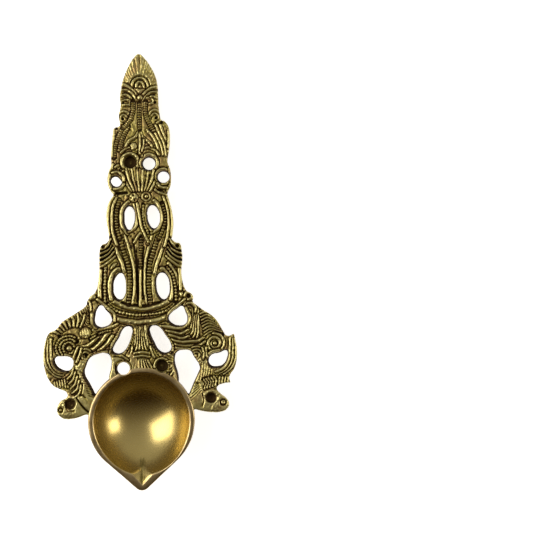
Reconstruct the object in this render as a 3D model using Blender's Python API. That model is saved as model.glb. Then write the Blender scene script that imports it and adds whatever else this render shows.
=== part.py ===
"""Hand-held brass oil lamp (aarti diya): a teardrop oil bowl with a wick spout, and a flat
openwork handle of two birds, a ring band, coil bands, a waist, a panel and a leaf finial.

The real lamp is one sand casting. It is modelled here as its cast members, one solid each, with
a hairline seam between neighbours. Everything is drawn in the casting plane, the plane of the
bowl's rim: v runs across the lamp, u runs from the bowl's centre towards the handle's tip, and
w points up from the rim. The casting is then tilted, because the lamp rests on the ground flat
under its bowl and on the tip of its handle. The origin is the centre of that flat.
"""

from math import acos, asin, atan2, cos, pi, radians, sin, sqrt

import bmesh
import bpy
from mathutils import Vector

MM = 0.001

# Driving dimensions, in millimetres unless named otherwise.
RIM_OUTER_RADIUS = 27.6
RIM_INNER_RADIUS = 24.8
BOWL_HEIGHT = 20.0
BOWL_FLOOR = 3.0
FOOT_CUT = 1.25
HANDLE_REACH = 194.8
PLATE_THICKNESS = 4.7
SEAM = 0.3

# The spout is the bowl's teardrop: flanks tangent to the rim, closed by a round tip.
OUTER_FLANK = radians(42.1)
OUTER_TIP_RADIUS = 6.0
OUTER_SPOUT_DEPTH = 14.0
INNER_FLANK = radians(34.0)
INNER_TIP_RADIUS = 5.0
INNER_SPOUT_DEPTH = 9.0
SECTION_POINTS = 72
OUTER_RINGS = 10
INNER_RINGS = 8

# The wick channel is the convex wedge of these corners: across, along, and above the rim.
CHANNEL_CORNERS = [(-6.6, -25.1, 1.0), (6.6, -25.1, 1.0), (0.0, -32.6, 1.0),
                   (-3.0, -22.0, 1.0), (3.0, -22.0, 1.0),
                   (-1.5, -23.0, -4.6), (1.5, -23.0, -4.6), (0.0, -31.0, -0.9)]

PIT_DEPTH = 3.2
COLLAR_DRILL_DEPTH = 7.0
OVERSHOOT = 1.0          # how far a cutter runs on past the surface it cuts
GROUND_BLOCK = 80.0      # side of the block that grinds the foot flat
WELD_DISTANCE = 0.005
CURVE_STEPS = 3          # straight pieces between two knots of an outline
CIRCLE_KNOTS = 10
CORNER = "corner"

# The bowl's two surfaces are spheres whose centres lie above the rim plane.
OUTER_DEPTH = BOWL_HEIGHT + FOOT_CUT
INNER_DEPTH = BOWL_HEIGHT - BOWL_FLOOR
OUTER_SPHERE = (RIM_OUTER_RADIUS ** 2 + OUTER_DEPTH ** 2) / (2 * OUTER_DEPTH)
INNER_SPHERE = (RIM_INNER_RADIUS ** 2 + INNER_DEPTH ** 2) / (2 * INNER_DEPTH)
TILT = asin((BOWL_HEIGHT - PLATE_THICKNESS) / HANDLE_REACH)

# Outer edge of the handle and its birds, clockwise from the tip. Its closing run lies inside
# the bowl, which trims it.
HANDLE_EDGE = [
    # right side of the leaf finial and of the panel
    (0.0, 194.8), (3.0, 192.4), (6.2, 187.9), (8.5, 183.3), (9.8, 177.8), (10.1, 170.0),
    (10.5, 164.0), (11.2, 159.2, CORNER), (13.6, 158.2), (15.4, 155.4), (16.1, 150.0),
    (15.6, 143.0), (14.8, 138.5), (14.7, 136.0),
    # right waist loop, coil band and shoulder leaf
    (15.8, 133.2), (16.5, 128.0), (16.1, 123.5), (14.5, 119.8), (15.3, 115.8), (16.8, 110.0),
    (17.5, 104.0), (17.1, 98.8), (16.5, 94.9, CORNER), (18.6, 93.2), (20.6, 92.8), (21.7, 89.0),
    (22.0, 84.0), (21.4, 78.0), (21.8, 73.5), (22.8, 69.6), (24.4, 67.1),
    # right knob, wing and tail, out to the tip of the plume
    (26.2, 66.2), (27.5, 64.0), (27.3, 61.6), (28.8, 60.2), (32.4, 57.4), (37.6, 54.0),
    (40.4, 50.7), (42.5, 46.9), (44.4, 43.6, CORNER), (46.4, 43.3), (48.8, 44.4, CORNER),
    (49.5, 41.5), (50.3, 35.0), (50.0, 29.8), (48.6, 25.8), (46.6, 23.0), (46.1, 21.0),
    (46.6, 18.7, CORNER), (42.5, 18.2), (40.0, 17.1),
    # right bird's head
    (39.3, 15.7), (41.4, 12.9), (44.3, 10.5), (45.7, 7.8), (44.6, 5.1), (41.5, 3.6),
    (36.5, 3.4), (31.2, 4.3), (27.5, 5.3), (20.0, 5.4, CORNER),
    # left bird's head
    (-20.0, 4.2, CORNER), (-28.5, 4.0), (-32.5, 2.6), (-37.7, 1.8), (-41.0, 2.8), (-43.1, 5.6),
    (-42.9, 8.6), (-41.2, 11.4), (-38.7, 12.6), (-37.9, 13.9),
    # left tail and wing
    (-38.7, 15.9), (-41.5, 17.2), (-44.7, 18.8), (-47.5, 22.2), (-49.4, 27.0), (-50.4, 33.0),
    (-49.8, 38.5), (-48.4, 44.4), (-47.0, 46.6), (-44.6, 47.6), (-42.8, 49.2), (-40.9, 51.8),
    (-36.6, 54.6), (-31.9, 57.6), (-28.5, 60.2), (-27.8, 62.6), (-26.1, 65.1), (-24.0, 66.8),
    # left end of the ring band, shoulder leaf, coil band and waist loop
    (-22.6, 70.0), (-21.9, 74.0), (-21.5, 79.0), (-21.6, 85.0), (-21.2, 89.8), (-19.8, 92.4),
    (-17.8, 93.0), (-16.4, 94.9, CORNER), (-16.6, 99.0), (-17.5, 104.0), (-17.6, 109.5),
    (-16.6, 114.0), (-15.0, 116.7), (-14.0, 118.6), (-15.6, 121.0), (-17.0, 125.5),
    (-16.4, 130.8), (-15.2, 134.0),
    # left side of the panel and of the leaf finial
    (-15.1, 139.5), (-14.5, 146.5), (-14.1, 151.5), (-13.1, 154.5), (-10.4, 155.3, CORNER),
    (-10.4, 157.8), (-10.9, 160.4), (-10.2, 164.4), (-9.8, 167.2), (-10.3, 170.6),
    (-9.7, 175.3), (-8.7, 180.1), (-7.1, 184.6), (-5.0, 189.0), (-2.5, 193.0),
]

# Openings drawn freehand, named by where they are.
OPENINGS = {
    "left_ring_oval": [(-10.2, 77.3), (-8.4, 75.0), (-7.8, 70.5), (-8.6, 65.0), (-10.6, 63.4),
                       (-13.4, 65.3), (-14.3, 70.0), (-13.1, 75.0)],
    "right_ring_oval": [(10.9, 77.3), (13.6, 75.8), (15.1, 70.0), (14.2, 64.8), (12.1, 63.2),
                        (9.6, 65.2), (8.2, 70.4), (9.0, 76.0)],
    "left_coil_oval": [(-5.5, 112.7), (-3.3, 110.5), (-2.9, 106.5), (-4.0, 102.0), (-5.6, 100.2),
                       (-7.5, 102.1), (-8.3, 107.0), (-7.5, 111.3)],
    "right_coil_oval": [(6.5, 113.4), (9.0, 111.5), (10.4, 107.0), (9.3, 102.3), (7.1, 101.0),
                        (4.9, 103.2), (3.8, 108.5), (4.6, 112.4)],
    "left_tear": [(-20.7, 60.4), (-18.3, 58.0), (-15.7, 54.9), (-15.4, 51.6), (-18.2, 49.5),
                  (-21.8, 49.3), (-23.8, 51.3), (-23.8, 54.5), (-22.5, 58.9)],
    "right_tear": [(21.6, 59.5), (23.2, 56.6), (24.3, 52.6), (23.2, 50.0), (20.0, 49.3),
                   (16.4, 50.5), (14.5, 53.2), (15.8, 55.8), (19.1, 58.2)],
    "left_slot": [(-6.9, 49.2), (-4.7, 48.0), (-5.0, 44.5), (-6.6, 39.8), (-9.2, 36.1),
                  (-12.1, 35.2), (-14.6, 36.6), (-13.9, 39.5), (-11.6, 43.2), (-9.4, 47.8)],
    "right_slot": [(6.9, 49.4), (9.7, 48.4), (12.6, 44.4), (15.4, 39.8), (15.3, 36.4),
                   (12.2, 35.2), (9.3, 36.6), (6.9, 40.8), (5.0, 45.2), (4.8, 48.4)],
    "left_wing_gap": [(-17.6, 35.1), (-15.6, 32.6), (-15.5, 28.5), (-16.6, 24.0), (-17.4, 19.0),
                      (-21.0, 14.4), (-23.1, 13.3), (-24.8, 16.2), (-26.8, 20.1), (-29.3, 25.2),
                      (-28.4, 29.5), (-26.6, 33.0), (-23.4, 34.8)],
    "right_wing_gap": [(22.5, 36.3), (25.6, 35.8), (27.5, 32.6), (30.6, 27.0), (29.4, 23.6),
                       (27.2, 19.0), (25.7, 15.4), (24.2, 13.0), (21.8, 13.4), (19.2, 17.0),
                       (19.5, 20.5), (19.2, 24.0), (17.9, 28.5), (17.5, 32.0), (18.7, 35.3)],
    "left_tail_gap": [(-40.5, 34.1), (-37.0, 33.8), (-35.1, 31.8), (-35.6, 28.4), (-37.4, 26.8),
                      (-41.0, 27.5), (-43.8, 30.0), (-44.3, 33.4)],
    "right_tail_gap": [(44.6, 35.7), (41.1, 34.4), (37.0, 33.5), (35.4, 31.0), (36.4, 28.1),
                       (39.5, 27.4), (43.0, 28.3), (45.1, 31.8), (45.4, 34.9)],
    "left_waist_gap": [(-12.9, 128.6), (-10.6, 127.2), (-9.7, 125.2), (-12.0, 123.3),
                       (-14.6, 124.6), (-15.1, 127.0)],
}

# Round holes and blind pits: centre across, centre along, radius.
COLLAR_HOLE = (-9.3, 27.2, 3.25)
ROUND_HOLES = [COLLAR_HOLE, (4.9, 135.7, 3.25), (12.5, 128.5, 3.05)]
ROUND_PITS = {"left_panel_pit": (-5.0, 136.0, 3.45), "right_collar_pit": (10.7, 28.2, 3.3)}

# The region of the handle that each cast member takes. Neighbours share their seam's points,
# and a region may run past the handle's edge or into an opening.
MEMBERS = {
    "finial_leaf": [(-14, 155.2), (-6, 154.6), (0, 152.8), (5, 154.6), (8.5, 157.2), (14, 159.4),
                    (14, 200), (-14, 200)],
    "upper_panel": [(-22, 134.6), (-12, 133.2), (-9, 131.4), (4.5, 131.3), (8.8, 132.2),
                    (10.8, 133.6), (22, 135.6), (22, 159.4), (14, 159.4), (8.5, 157.2),
                    (5, 154.6), (0, 152.8), (-6, 154.6), (-14, 155.2), (-22, 155.2)],
    "waist_knot": [(-9, 131.4), (-6.3, 123.6), (-8, 120.6), (-6.6, 116.6), (-5.4, 111.5),
                   (-2.6, 114.3), (3.2, 114.6), (6.4, 112), (9.2, 116), (9.6, 120.9),
                   (6.6, 124.6), (8.8, 132.2), (4.5, 131.3)],
    "left_waist_loop": [(-22, 118.4), (-13, 119), (-8, 120.6), (-6.3, 123.6), (-9, 131.4),
                        (-12, 133.2), (-22, 134.6)],
    "right_waist_loop": [(22, 119.8), (14, 119.6), (9.6, 120.9), (6.6, 124.6), (8.8, 132.2),
                         (10.8, 133.6), (22, 135.6)],
    "centre_braid": [(-5.6, 101.5), (-2.7, 95.2), (0.5, 98.4), (3.5, 94.4), (7, 102.5),
                     (6.4, 112), (3.2, 114.6), (-2.6, 114.3), (-5.4, 111.5)],
    "centre_rib": [(-4.4, 60.8), (3.6, 60.8), (2.4, 70), (2.5, 80), (3.8, 89), (3.5, 94.4),
                   (0.5, 98.4), (-2.7, 95.2), (-4.4, 90), (-3.6, 80), (-3, 70)],
    "left_coil_band": [(-24, 118.4), (-22, 118.4), (-13, 119), (-8, 120.6), (-6.6, 116.6),
                       (-5.4, 111.5), (-5.6, 101.5), (-2.7, 95.2), (-4.4, 90), (-3.6, 80),
                       (-3, 70), (-4.4, 60.8), (-8.6, 62), (-10.5, 64.8), (-11.5, 75.5),
                       (-12.3, 82), (-14.6, 88), (-17.2, 97), (-24, 97)],
    "right_coil_band": [(24, 119.8), (14, 119.6), (9.6, 120.9), (9.2, 116), (6.4, 112),
                        (7, 102.5), (3.5, 94.4), (3.8, 89), (2.5, 80), (2.4, 70), (3.6, 60.8),
                        (9.4, 62.2), (12.4, 64.8), (12.6, 75.8), (11.6, 82), (13.6, 88),
                        (17.2, 97), (24, 97)],
    "left_shoulder_leaf": [(-26, 79.4), (-14.2, 79.4), (-11.5, 75.5), (-12.3, 82), (-14.6, 88),
                           (-17.2, 97), (-26, 97)],
    "right_shoulder_leaf": [(26, 79.4), (14.6, 79.4), (12.6, 75.8), (11.6, 82), (13.6, 88),
                            (17.2, 97), (26, 97)],
    "ring_band": [(-26, 79.4), (-26, 69.5), (-24.2, 67.6), (-22.6, 64), (-21.2, 58.5),
                  (-16.8, 52.2), (-12.5, 50.3), (-7.6, 48.4), (-4.9, 49.9), (0, 50.2),
                  (4.9, 50), (7.6, 48.6), (12.6, 50.8), (15.6, 53), (21.8, 58), (23.4, 63),
                  (24.6, 67.4), (26, 69), (26, 79.4), (14.6, 79.4), (12.6, 75.8), (12.4, 64.8),
                  (9.4, 62.2), (3.6, 60.8), (-4.4, 60.8), (-8.6, 62), (-10.5, 64.8),
                  (-11.5, 75.5), (-14.2, 79.4)],
    "lotus_fan": [(-7.6, 48.4), (-4.9, 49.9), (0, 50.2), (4.9, 50), (7.6, 48.6), (9.8, 36.8),
                  (6.6, 33), (5.6, 30), (5.6, 22), (-4.6, 22), (-4.6, 30), (-5.6, 33),
                  (-9.6, 36.6)],
    "left_collar": [(-17.4, 33.2), (-12.8, 36.4), (-9.6, 36.6), (-5.6, 33), (-4.6, 30),
                    (-4.6, 15), (-20, 15), (-20, 25)],
    "right_collar": [(19.6, 33.2), (14.4, 37.2), (9.8, 36.8), (6.6, 33), (5.6, 30), (5.6, 15),
                     (21, 15), (21, 25)],
    "left_wing": [(-24.2, 67.6), (-22.6, 64), (-21.2, 58.5), (-16.8, 52.2), (-12.5, 50.3),
                  (-7.6, 48.4), (-12.8, 36.4), (-17.4, 33.2), (-26, 31.5), (-29.4, 36.6),
                  (-32.6, 39.6), (-33.7, 42), (-33.2, 46.5), (-31.2, 52), (-28.2, 60.4),
                  (-30, 63), (-30, 69.5), (-26, 69.5)],
    "right_wing": [(24.6, 67.4), (23.4, 63), (21.8, 58), (15.6, 53), (12.6, 50.8), (7.6, 48.6),
                   (14.4, 37.2), (19.6, 33.2), (25.2, 34.4), (28.5, 37.6), (34, 38.4),
                   (33.6, 43), (32, 49), (31, 54.5), (28, 61), (30, 68.5), (26, 69)],
    "left_tail": [(-30, 63), (-28.2, 60.4), (-31.2, 52), (-33.2, 46.5), (-33.7, 42),
                  (-32.6, 39.6), (-34.6, 36.4), (-36.4, 31), (-37.2, 28), (-37.8, 22),
                  (-37.4, 17.5), (-39.5, 14.8), (-60, 14.8), (-60, 63)],
    "right_tail": [(30, 63), (28, 61), (31, 54.5), (32, 49), (33.6, 43), (34, 38.4),
                   (35, 35.5), (37, 31), (38, 28.6), (38.4, 22.5), (38.8, 17.8), (41, 16.4),
                   (60, 16.4), (60, 63)],
    "left_bird": [(-32.6, 39.6), (-29.4, 36.6), (-26, 31.5), (-20, 20), (-20, 8), (-25, 2),
                  (-27.2, 4.6), (-30.5, 8.8), (-33.8, 12.8), (-38.2, 14), (-39.5, 14.8),
                  (-37.4, 17.5), (-37.8, 22), (-37.2, 28), (-36.4, 31), (-34.6, 36.4)],
    "right_bird": [(34, 38.4), (28.5, 37.6), (25.2, 34.4), (22, 24), (20, 12), (22, 2),
                   (29.2, 2), (30.4, 9.5), (32.6, 14.4), (37, 15.7), (41, 16.4), (38.8, 17.8),
                   (38.4, 22.5), (38, 28.6), (37, 31), (35, 35.5)],
    "left_bird_head": [(-38.2, 14), (-33.8, 12.8), (-30.5, 8.8), (-27.2, 4.6), (-25, 2),
                       (-25, -2), (-46, -2), (-46, 14)],
    "right_bird_head": [(41, 16.4), (37, 15.7), (32.6, 14.4), (30.4, 9.5), (29.2, 2),
                        (29.2, -2), (50, -2), (50, 16.4)],
}

BRASS = (0.52, 0.40, 0.16, 1.0)
SATIN_BRASS = (0.56, 0.44, 0.20, 1.0)


def clear_scene():
    for old in list(bpy.data.objects):
        bpy.data.objects.remove(old, do_unlink=True)


def new_collection(name):
    collection = bpy.data.collections.new(name)
    bpy.context.scene.collection.children.link(collection)
    return collection


def brass(name, colour, roughness):
    material = bpy.data.materials.new(name)
    material.use_nodes = True
    shader = material.node_tree.nodes["Principled BSDF"]
    shader.inputs["Base Color"].default_value = colour
    shader.inputs["Metallic"].default_value = 1.0
    shader.inputs["Roughness"].default_value = roughness
    return material


def add_spline(curve, outline):
    """A closed smooth spline through the outline's points, sharp where one is a corner."""
    spline = curve.splines.new("BEZIER")
    spline.bezier_points.add(len(outline) - 1)
    for point, knot in zip(outline, spline.bezier_points):
        knot.co = (point[0] * MM, point[1] * MM, 0.0)
        kind = "VECTOR" if CORNER in point else "AUTO"
        knot.handle_left_type = kind
        knot.handle_right_type = kind
    spline.use_cyclic_u = True


def flat_solid(name, outlines, bottom, top):
    """A closed flat mesh object between two heights; outlines after the first are its holes."""
    curve = bpy.data.curves.new(name, "CURVE")
    curve.dimensions = "2D"
    curve.fill_mode = "BOTH"
    curve.resolution_u = CURVE_STEPS
    curve.extrude = (top - bottom) / 2 * MM
    for outline in outlines:
        add_spline(curve, outline)
    source = bpy.data.objects.new(name + "_outline", curve)
    bpy.context.scene.collection.objects.link(source)
    mesh = evaluated_mesh(source, name)
    for vertex in mesh.vertices:
        vertex.co.z += (top + bottom) / 2 * MM
    bpy.data.objects.remove(source)
    bpy.data.curves.remove(curve)
    return bpy.data.objects.new(name, mesh)


def evaluated_mesh(source, name):
    """The object's shape with its modifiers applied, as a welded mesh with outward faces."""
    bpy.context.view_layer.update()
    depsgraph = bpy.context.evaluated_depsgraph_get()
    mesh = bpy.data.meshes.new_from_object(source.evaluated_get(depsgraph))
    mesh.name = name
    edit = bmesh.new()
    edit.from_mesh(mesh)
    bmesh.ops.remove_doubles(edit, verts=edit.verts, dist=WELD_DISTANCE * MM)
    bmesh.ops.recalc_face_normals(edit, faces=edit.faces)
    edit.to_mesh(mesh)
    edit.free()
    return mesh


def circle(centre_v, centre_u, radius):
    turns = [2 * pi * k / CIRCLE_KNOTS for k in range(CIRCLE_KNOTS)]
    return [(centre_v + radius * cos(a), centre_u + radius * sin(a)) for a in turns]


def inset(region, distance):
    """The polygon with every side moved inwards by the distance, whichever way it winds."""
    corners = [Vector(point) for point in region]
    following = corners[1:] + corners[:1]
    area = sum(a.x * b.y - b.x * a.y for a, b in zip(corners, following))
    inward = distance if area > 0 else -distance
    moved = []
    for k, corner in enumerate(corners):
        before = (corner - corners[k - 1]).normalized()
        after = (following[k] - corner).normalized()
        normal = Vector((-before.y - after.y, before.x + after.x))
        moved.append(corner + normal * inward / (1 + before.dot(after)))
    return [(point.x, point.y, CORNER) for point in moved]


def teardrop(angle, radius, flank, tip):
    """Distance from the centre to a circle drawn out to a round tip, at the angle from the tip."""
    tip_centre = (radius - tip) / cos(flank)
    tangent = atan2(tip * sin(flank), tip_centre + tip * cos(flank))
    if angle < tangent:
        return tip_centre * cos(angle) + sqrt(tip ** 2 - (tip_centre * sin(angle)) ** 2)
    if angle < flank:
        return radius / cos(flank - angle)
    return radius


def bowl_section(sphere, centre_height, depth, flank, tip, spout_depth, grow):
    """One level outline of a bowl surface, as points in the casting frame."""
    radius = sqrt(max(sphere ** 2 - (centre_height + depth) ** 2, 0.0)) + grow
    fade = max(1 - (depth / spout_depth) ** 2, 0.0) if depth > 0 else 1.0
    points = []
    for k in range(SECTION_POINTS):
        turn = 2 * pi * k / SECTION_POINTS
        from_tip = min(turn, 2 * pi - turn)
        reach = teardrop(from_tip, radius, flank * fade, tip)
        points.append(Vector((reach * sin(turn), -reach * cos(turn), -depth)) * MM)
    return points


def bowl_surface(name, sphere, total_depth, flank, tip, spout_depth, rings, top=0.0, grow=0.0):
    """A closed solid lofted from the teardrop at its top down to the bottom of the sphere."""
    centre_height = sphere - total_depth
    steep = acos((centre_height - top) / sphere)
    edit = bmesh.new()
    levels = []
    for k in range(rings):
        depth = sphere * cos(steep * (1 - k / rings)) - centre_height
        outline = bowl_section(sphere, centre_height, depth, flank, tip, spout_depth, grow)
        levels.append([edit.verts.new(point) for point in outline])
    pole = edit.verts.new((0.0, 0.0, -(total_depth + grow) * MM))
    edit.faces.new(levels[0])
    for upper, lower in zip(levels, levels[1:]):
        for k in range(SECTION_POINTS):
            edit.faces.new((upper[k - 1], upper[k], lower[k], lower[k - 1]))
    for k in range(SECTION_POINTS):
        edit.faces.new((levels[-1][k - 1], levels[-1][k], pole))
    bmesh.ops.recalc_face_normals(edit, faces=edit.faces)
    mesh = bpy.data.meshes.new(name)
    edit.to_mesh(mesh)
    edit.free()
    return bpy.data.objects.new(name, mesh)


def wick_channel():
    """A wedge that rises from the bowl's wall to the spout's tip, where the wick lies."""
    edit = bmesh.new()
    for corner in CHANNEL_CORNERS:
        edit.verts.new(Vector(corner) * MM)
    bmesh.ops.convex_hull(edit, input=edit.verts)
    bmesh.ops.recalc_face_normals(edit, faces=edit.faces)
    mesh = bpy.data.meshes.new("wick_channel")
    edit.to_mesh(mesh)
    edit.free()
    return bpy.data.objects.new("wick_channel", mesh)


def ground_block():
    """Everything below the surface that the lamp stands on."""
    side = GROUND_BLOCK * MM
    bpy.ops.mesh.primitive_cube_add(size=side, location=(0.0, 0.0, -side / 2))
    block = bpy.context.object
    block.name = "ground_block"
    return block


def as_cutter(cutter, parent=None):
    for owner in list(cutter.users_collection):
        owner.objects.unlink(cutter)
    cutters.objects.link(cutter)
    cutter.parent = parent
    cutter.hide_render = True
    cutter.display_type = "WIRE"
    return cutter


def boolean(target, cutter, operation):
    modifier = target.modifiers.new(cutter.name, "BOOLEAN")
    modifier.object = cutter
    modifier.operation = operation
    modifier.solver = "EXACT"


def add_member(name, obj, material):
    lamp.objects.link(obj)
    obj.name = name
    obj.parent = casting
    obj.data.materials.clear()
    obj.data.materials.append(material)


clear_scene()
lamp = new_collection("brass_hand_lamp")
cutters = new_collection("cutters")

casting = bpy.data.objects.new("casting_plane", None)
lamp.objects.link(casting)
casting.rotation_euler.x = -TILT
casting.location = (0.0, -(OUTER_SPHERE - OUTER_DEPTH) * sin(TILT) * MM, BOWL_HEIGHT * MM)

# Bowl
outer = (OUTER_SPHERE, OUTER_DEPTH, OUTER_FLANK, OUTER_TIP_RADIUS, OUTER_SPOUT_DEPTH)
inner = (INNER_SPHERE, INNER_DEPTH, INNER_FLANK, INNER_TIP_RADIUS, INNER_SPOUT_DEPTH)
collar_drill = flat_solid("collar_drill", [circle(*COLLAR_HOLE)], -COLLAR_DRILL_DEPTH, OVERSHOOT)
as_cutter(collar_drill, casting)
bowl = bowl_surface("oil_bowl", *outer, OUTER_RINGS)
add_member("oil_bowl", bowl, brass("satin_brass", SATIN_BRASS, 0.30))
hollow = bowl_surface("hollow", *inner, INNER_RINGS, top=OVERSHOOT)
boolean(bowl, as_cutter(hollow, casting), "DIFFERENCE")
boolean(bowl, as_cutter(wick_channel(), casting), "DIFFERENCE")
boolean(bowl, collar_drill, "DIFFERENCE")
boolean(bowl, as_cutter(ground_block()), "DIFFERENCE")

# Handle: the whole openwork plate, trimmed clear of the bowl, then shared out to its members.
openings = list(OPENINGS.values()) + [circle(*hole) for hole in ROUND_HOLES]
plate = flat_solid("plate", [HANDLE_EDGE] + openings, -PLATE_THICKNESS, 0.0)
as_cutter(plate, casting)
clearance = bowl_surface("bowl_clearance", *outer, OUTER_RINGS, top=OVERSHOOT, grow=SEAM)
boolean(plate, as_cutter(clearance, casting), "DIFFERENCE")
for pit_name, pit in ROUND_PITS.items():
    punch = flat_solid(pit_name, [circle(*pit)], -PIT_DEPTH, OVERSHOOT)
    boolean(plate, as_cutter(punch, casting), "DIFFERENCE")
whole_plate = evaluated_mesh(plate, "whole_plate")

for member_name, member_region in MEMBERS.items():
    region_name = member_name + "_region"
    outline = inset(member_region, SEAM / 2)
    region = flat_solid(region_name, [outline], -PLATE_THICKNESS - OVERSHOOT, OVERSHOOT)
    member = bpy.data.objects.new(member_name, whole_plate.copy())
    add_member(member_name, member, brass(member_name + "_brass", BRASS, 0.38))
    boolean(member, as_cutter(region, casting), "INTERSECT")
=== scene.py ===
"""Looks for the hand-held brass oil lamp: one sand casting with a satin bowl and a carved,
darkened openwork handle.

The carving is drawn in the casting plane, in millimetres: v runs across the lamp, u from the
bowl's centre towards the handle's tip, and w up from the rim. Every handle member keeps the
plan shape of its CAD node; its face is a relief built from cords, beads, ladders, grooves,
rings and bosses.
"""

from math import asin, cos, pi, radians, sin, sqrt

import bpy
import numpy as np
from mathutils import Matrix, Vector


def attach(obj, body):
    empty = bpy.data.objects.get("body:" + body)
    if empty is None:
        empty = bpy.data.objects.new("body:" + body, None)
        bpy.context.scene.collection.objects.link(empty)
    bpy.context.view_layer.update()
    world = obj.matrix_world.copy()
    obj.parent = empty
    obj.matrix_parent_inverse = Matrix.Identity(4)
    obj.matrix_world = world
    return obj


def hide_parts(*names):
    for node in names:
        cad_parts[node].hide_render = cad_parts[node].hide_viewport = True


MM = 0.001

# The lamp's driving sizes, shared with its CAD.
RIM_OUTER = 27.6
RIM_INNER = 24.8
BOWL_HEIGHT = 20.0
BOWL_FLOOR = 3.0
FOOT_CUT = 1.25
HANDLE_REACH = 194.8
PLATE = 4.7
OUTER_DEPTH = BOWL_HEIGHT + FOOT_CUT
INNER_DEPTH = BOWL_HEIGHT - BOWL_FLOOR
OUTER_SPHERE = (RIM_OUTER ** 2 + OUTER_DEPTH ** 2) / (2 * OUTER_DEPTH)
INNER_SPHERE = (RIM_INNER ** 2 + INNER_DEPTH ** 2) / (2 * INNER_DEPTH)
TILT = asin((BOWL_HEIGHT - PLATE) / HANDLE_REACH)

# Holes behind the bowl as (v, u, radius, depth), and blind hollows as (v, u, radius).
COLLAR_HOLES = [(-9.3, 27.2, 3.25, 7.0), (10.7, 28.2, 3.3, 3.2)]
HOLLOWS = [(-5.0, 136.0, 3.45), (10.7, 28.2, 3.3)]
HOLLOW_BOTTOM = -3.1
HOLLOW_STEEP = 10

# The bowl's spout, rim and wick notch.
OUTER_FLANK = radians(42.1)
OUTER_TIP = 4.4
OUTER_SPOUT_DEPTH = 14.0
SPOUT_SWELL = 2.9
SPOUT_LEAN = 1.1
BOWL_TURNS = 360
HOLLOW_RINGS = 70
WALL_STEPS = 16
FOOT_STEPS = 26
RIM_WIDTH = RIM_OUTER - RIM_INNER
LIP_SET_BACK = 0.15
LIP_BEVEL = 0.25
LEAST_RIM = 0.2
RING_CROWDING = 1.35
BEVEL_SHARES = (0.35, 0.7, 1.0)
RIM_ROUNDING = [(0.66, 0.05), (0.80, 0.18), (0.91, 0.42), (0.975, 0.78)]
RIM_DEPTH, COLLAR_DEPTH, WALL_DEPTH = 1.1, 7.2, 7.6
NOTCH_TIP = -32.5
NOTCH_SIDES = [(-5.5, -26.4), (4.8, -27.6)]
NOTCH_FLOOR = (0.2, -24.3, -4.9)
NOTCH_END = -19.0
NOTCH_NEAR, NOTCH_FAR = 24.0, 33.0
NOTCH_BLEND = 1.0
FAR_BELOW = -50.0
HALVINGS = 24
SPREAD_UNIT = 40
FURROW_START, FURROW_FADE = -16.5, 5
FURROW_HALF, FURROW_SOFT = 3.0, 2.0

# Grids over the casting plane.
FINE = 0.125
STEP = 0.27
LOW_V, HIGH_V = -52.0, 52.0
LOW_U, HIGH_U = 0.0, 196.5
SEAM_REACH = 0.45
EDGE_REACH = 3.0
BOWL_OVERLAP = 0.9
SNAP_REACH = 0.55 * STEP
LEAST_INSIDE = 0.02
RIM_PLANE_SLACK = 0.02
EMPTY = -1
NEIGHBOURS = ((0, 1), (0, -1), (1, 1), (1, -1))

# The relief's levels, measured from the rim plane.
GROUND_LEVEL = -0.8
MOAT = 0.6
MOAT_LEVEL = -1.9
NOWHERE = -9.0
BAR_SHARE, BAR_SHARPNESS = 0.42, 0.9
BAND_FLANK, BAND_ROUND = 0.35, 0.8
SHEET_FALL = 0.5
ARC_POINTS = 13
EDGE_ROUND = 0.9
BACK_ROUND = 0.5
LOWEST_FACE, HIGHEST_FACE = -3.6, -0.02
BOWL_JOIN_DROP = 0.3

# How the carving is worn: strokes pushed to and fro, softened, and shallower towards the tip.
WOBBLE = 0.45
WOBBLE_CELLS = 11
SOFTENED = 0.25
SHALLOW_FROM = 134.0
SHALLOW_FADE = 10
SHALLOW_SHARE = 0.16
SMOOTH_REACH = 32.0
SMOOTH_FADE = 5
SMOOTH_SHARE = 0.25

# Unevenness of the casting: height in millimetres, size in grid cells, and seed.
GROUND_SWELLS = (0.45, 6, 3)
DIMPLES = (1.0, 3, 4)
DIMPLE_START, DIMPLE_SPAN, DIMPLE_DEPTH = 0.22, 0.3, 0.9
FINE_GRAIN = (0.26, 3, 5)
COARSE_GRAIN = (0.18, 8, 7)
SLOW_WAVES = (0.25, 26, 9)
BACK_WAVES = (0.12, 9, 11)
BACK_GRAIN = (0.05, 3, 13)
RIM_WAVER = (0.04, 9, 17)
WOBBLE_ACROSS = (WOBBLE / STEP, WOBBLE_CELLS, 21)
WOBBLE_ALONG = (WOBBLE / STEP, WOBBLE_CELLS, 23)

# The worn slopes down into the openings, and the painted shade that darkens the finish on them.
OPENING_REACH = 1.6
OPENING_BEVEL = 1.7
OPENING_FALL = 2.5
LEAST_BEVEL, LEAST_FALL = 0.4, 0.3
SLOPE_START, SLOPE_CURVE = 1.15, 1.4
SLOPE_PAINTED_SHADE = 0.95

# The finish's two vertex values: how far a place stands out from its surroundings, and how high it is.
# Each has its value on the plate's edges, on its back and in its openings; the darker values in
# the openings are partly patina and partly painted shade on their walls.
RUBBING_AND_SHADE = {"cavity": (0.50, 0.36, 0.28), "level": (0.45, 0.40, 0.26)}
CAVITY_CELLS = 4
CAVITY_SPAN = 1.3
LEVEL_SPAN = 2.2

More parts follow.
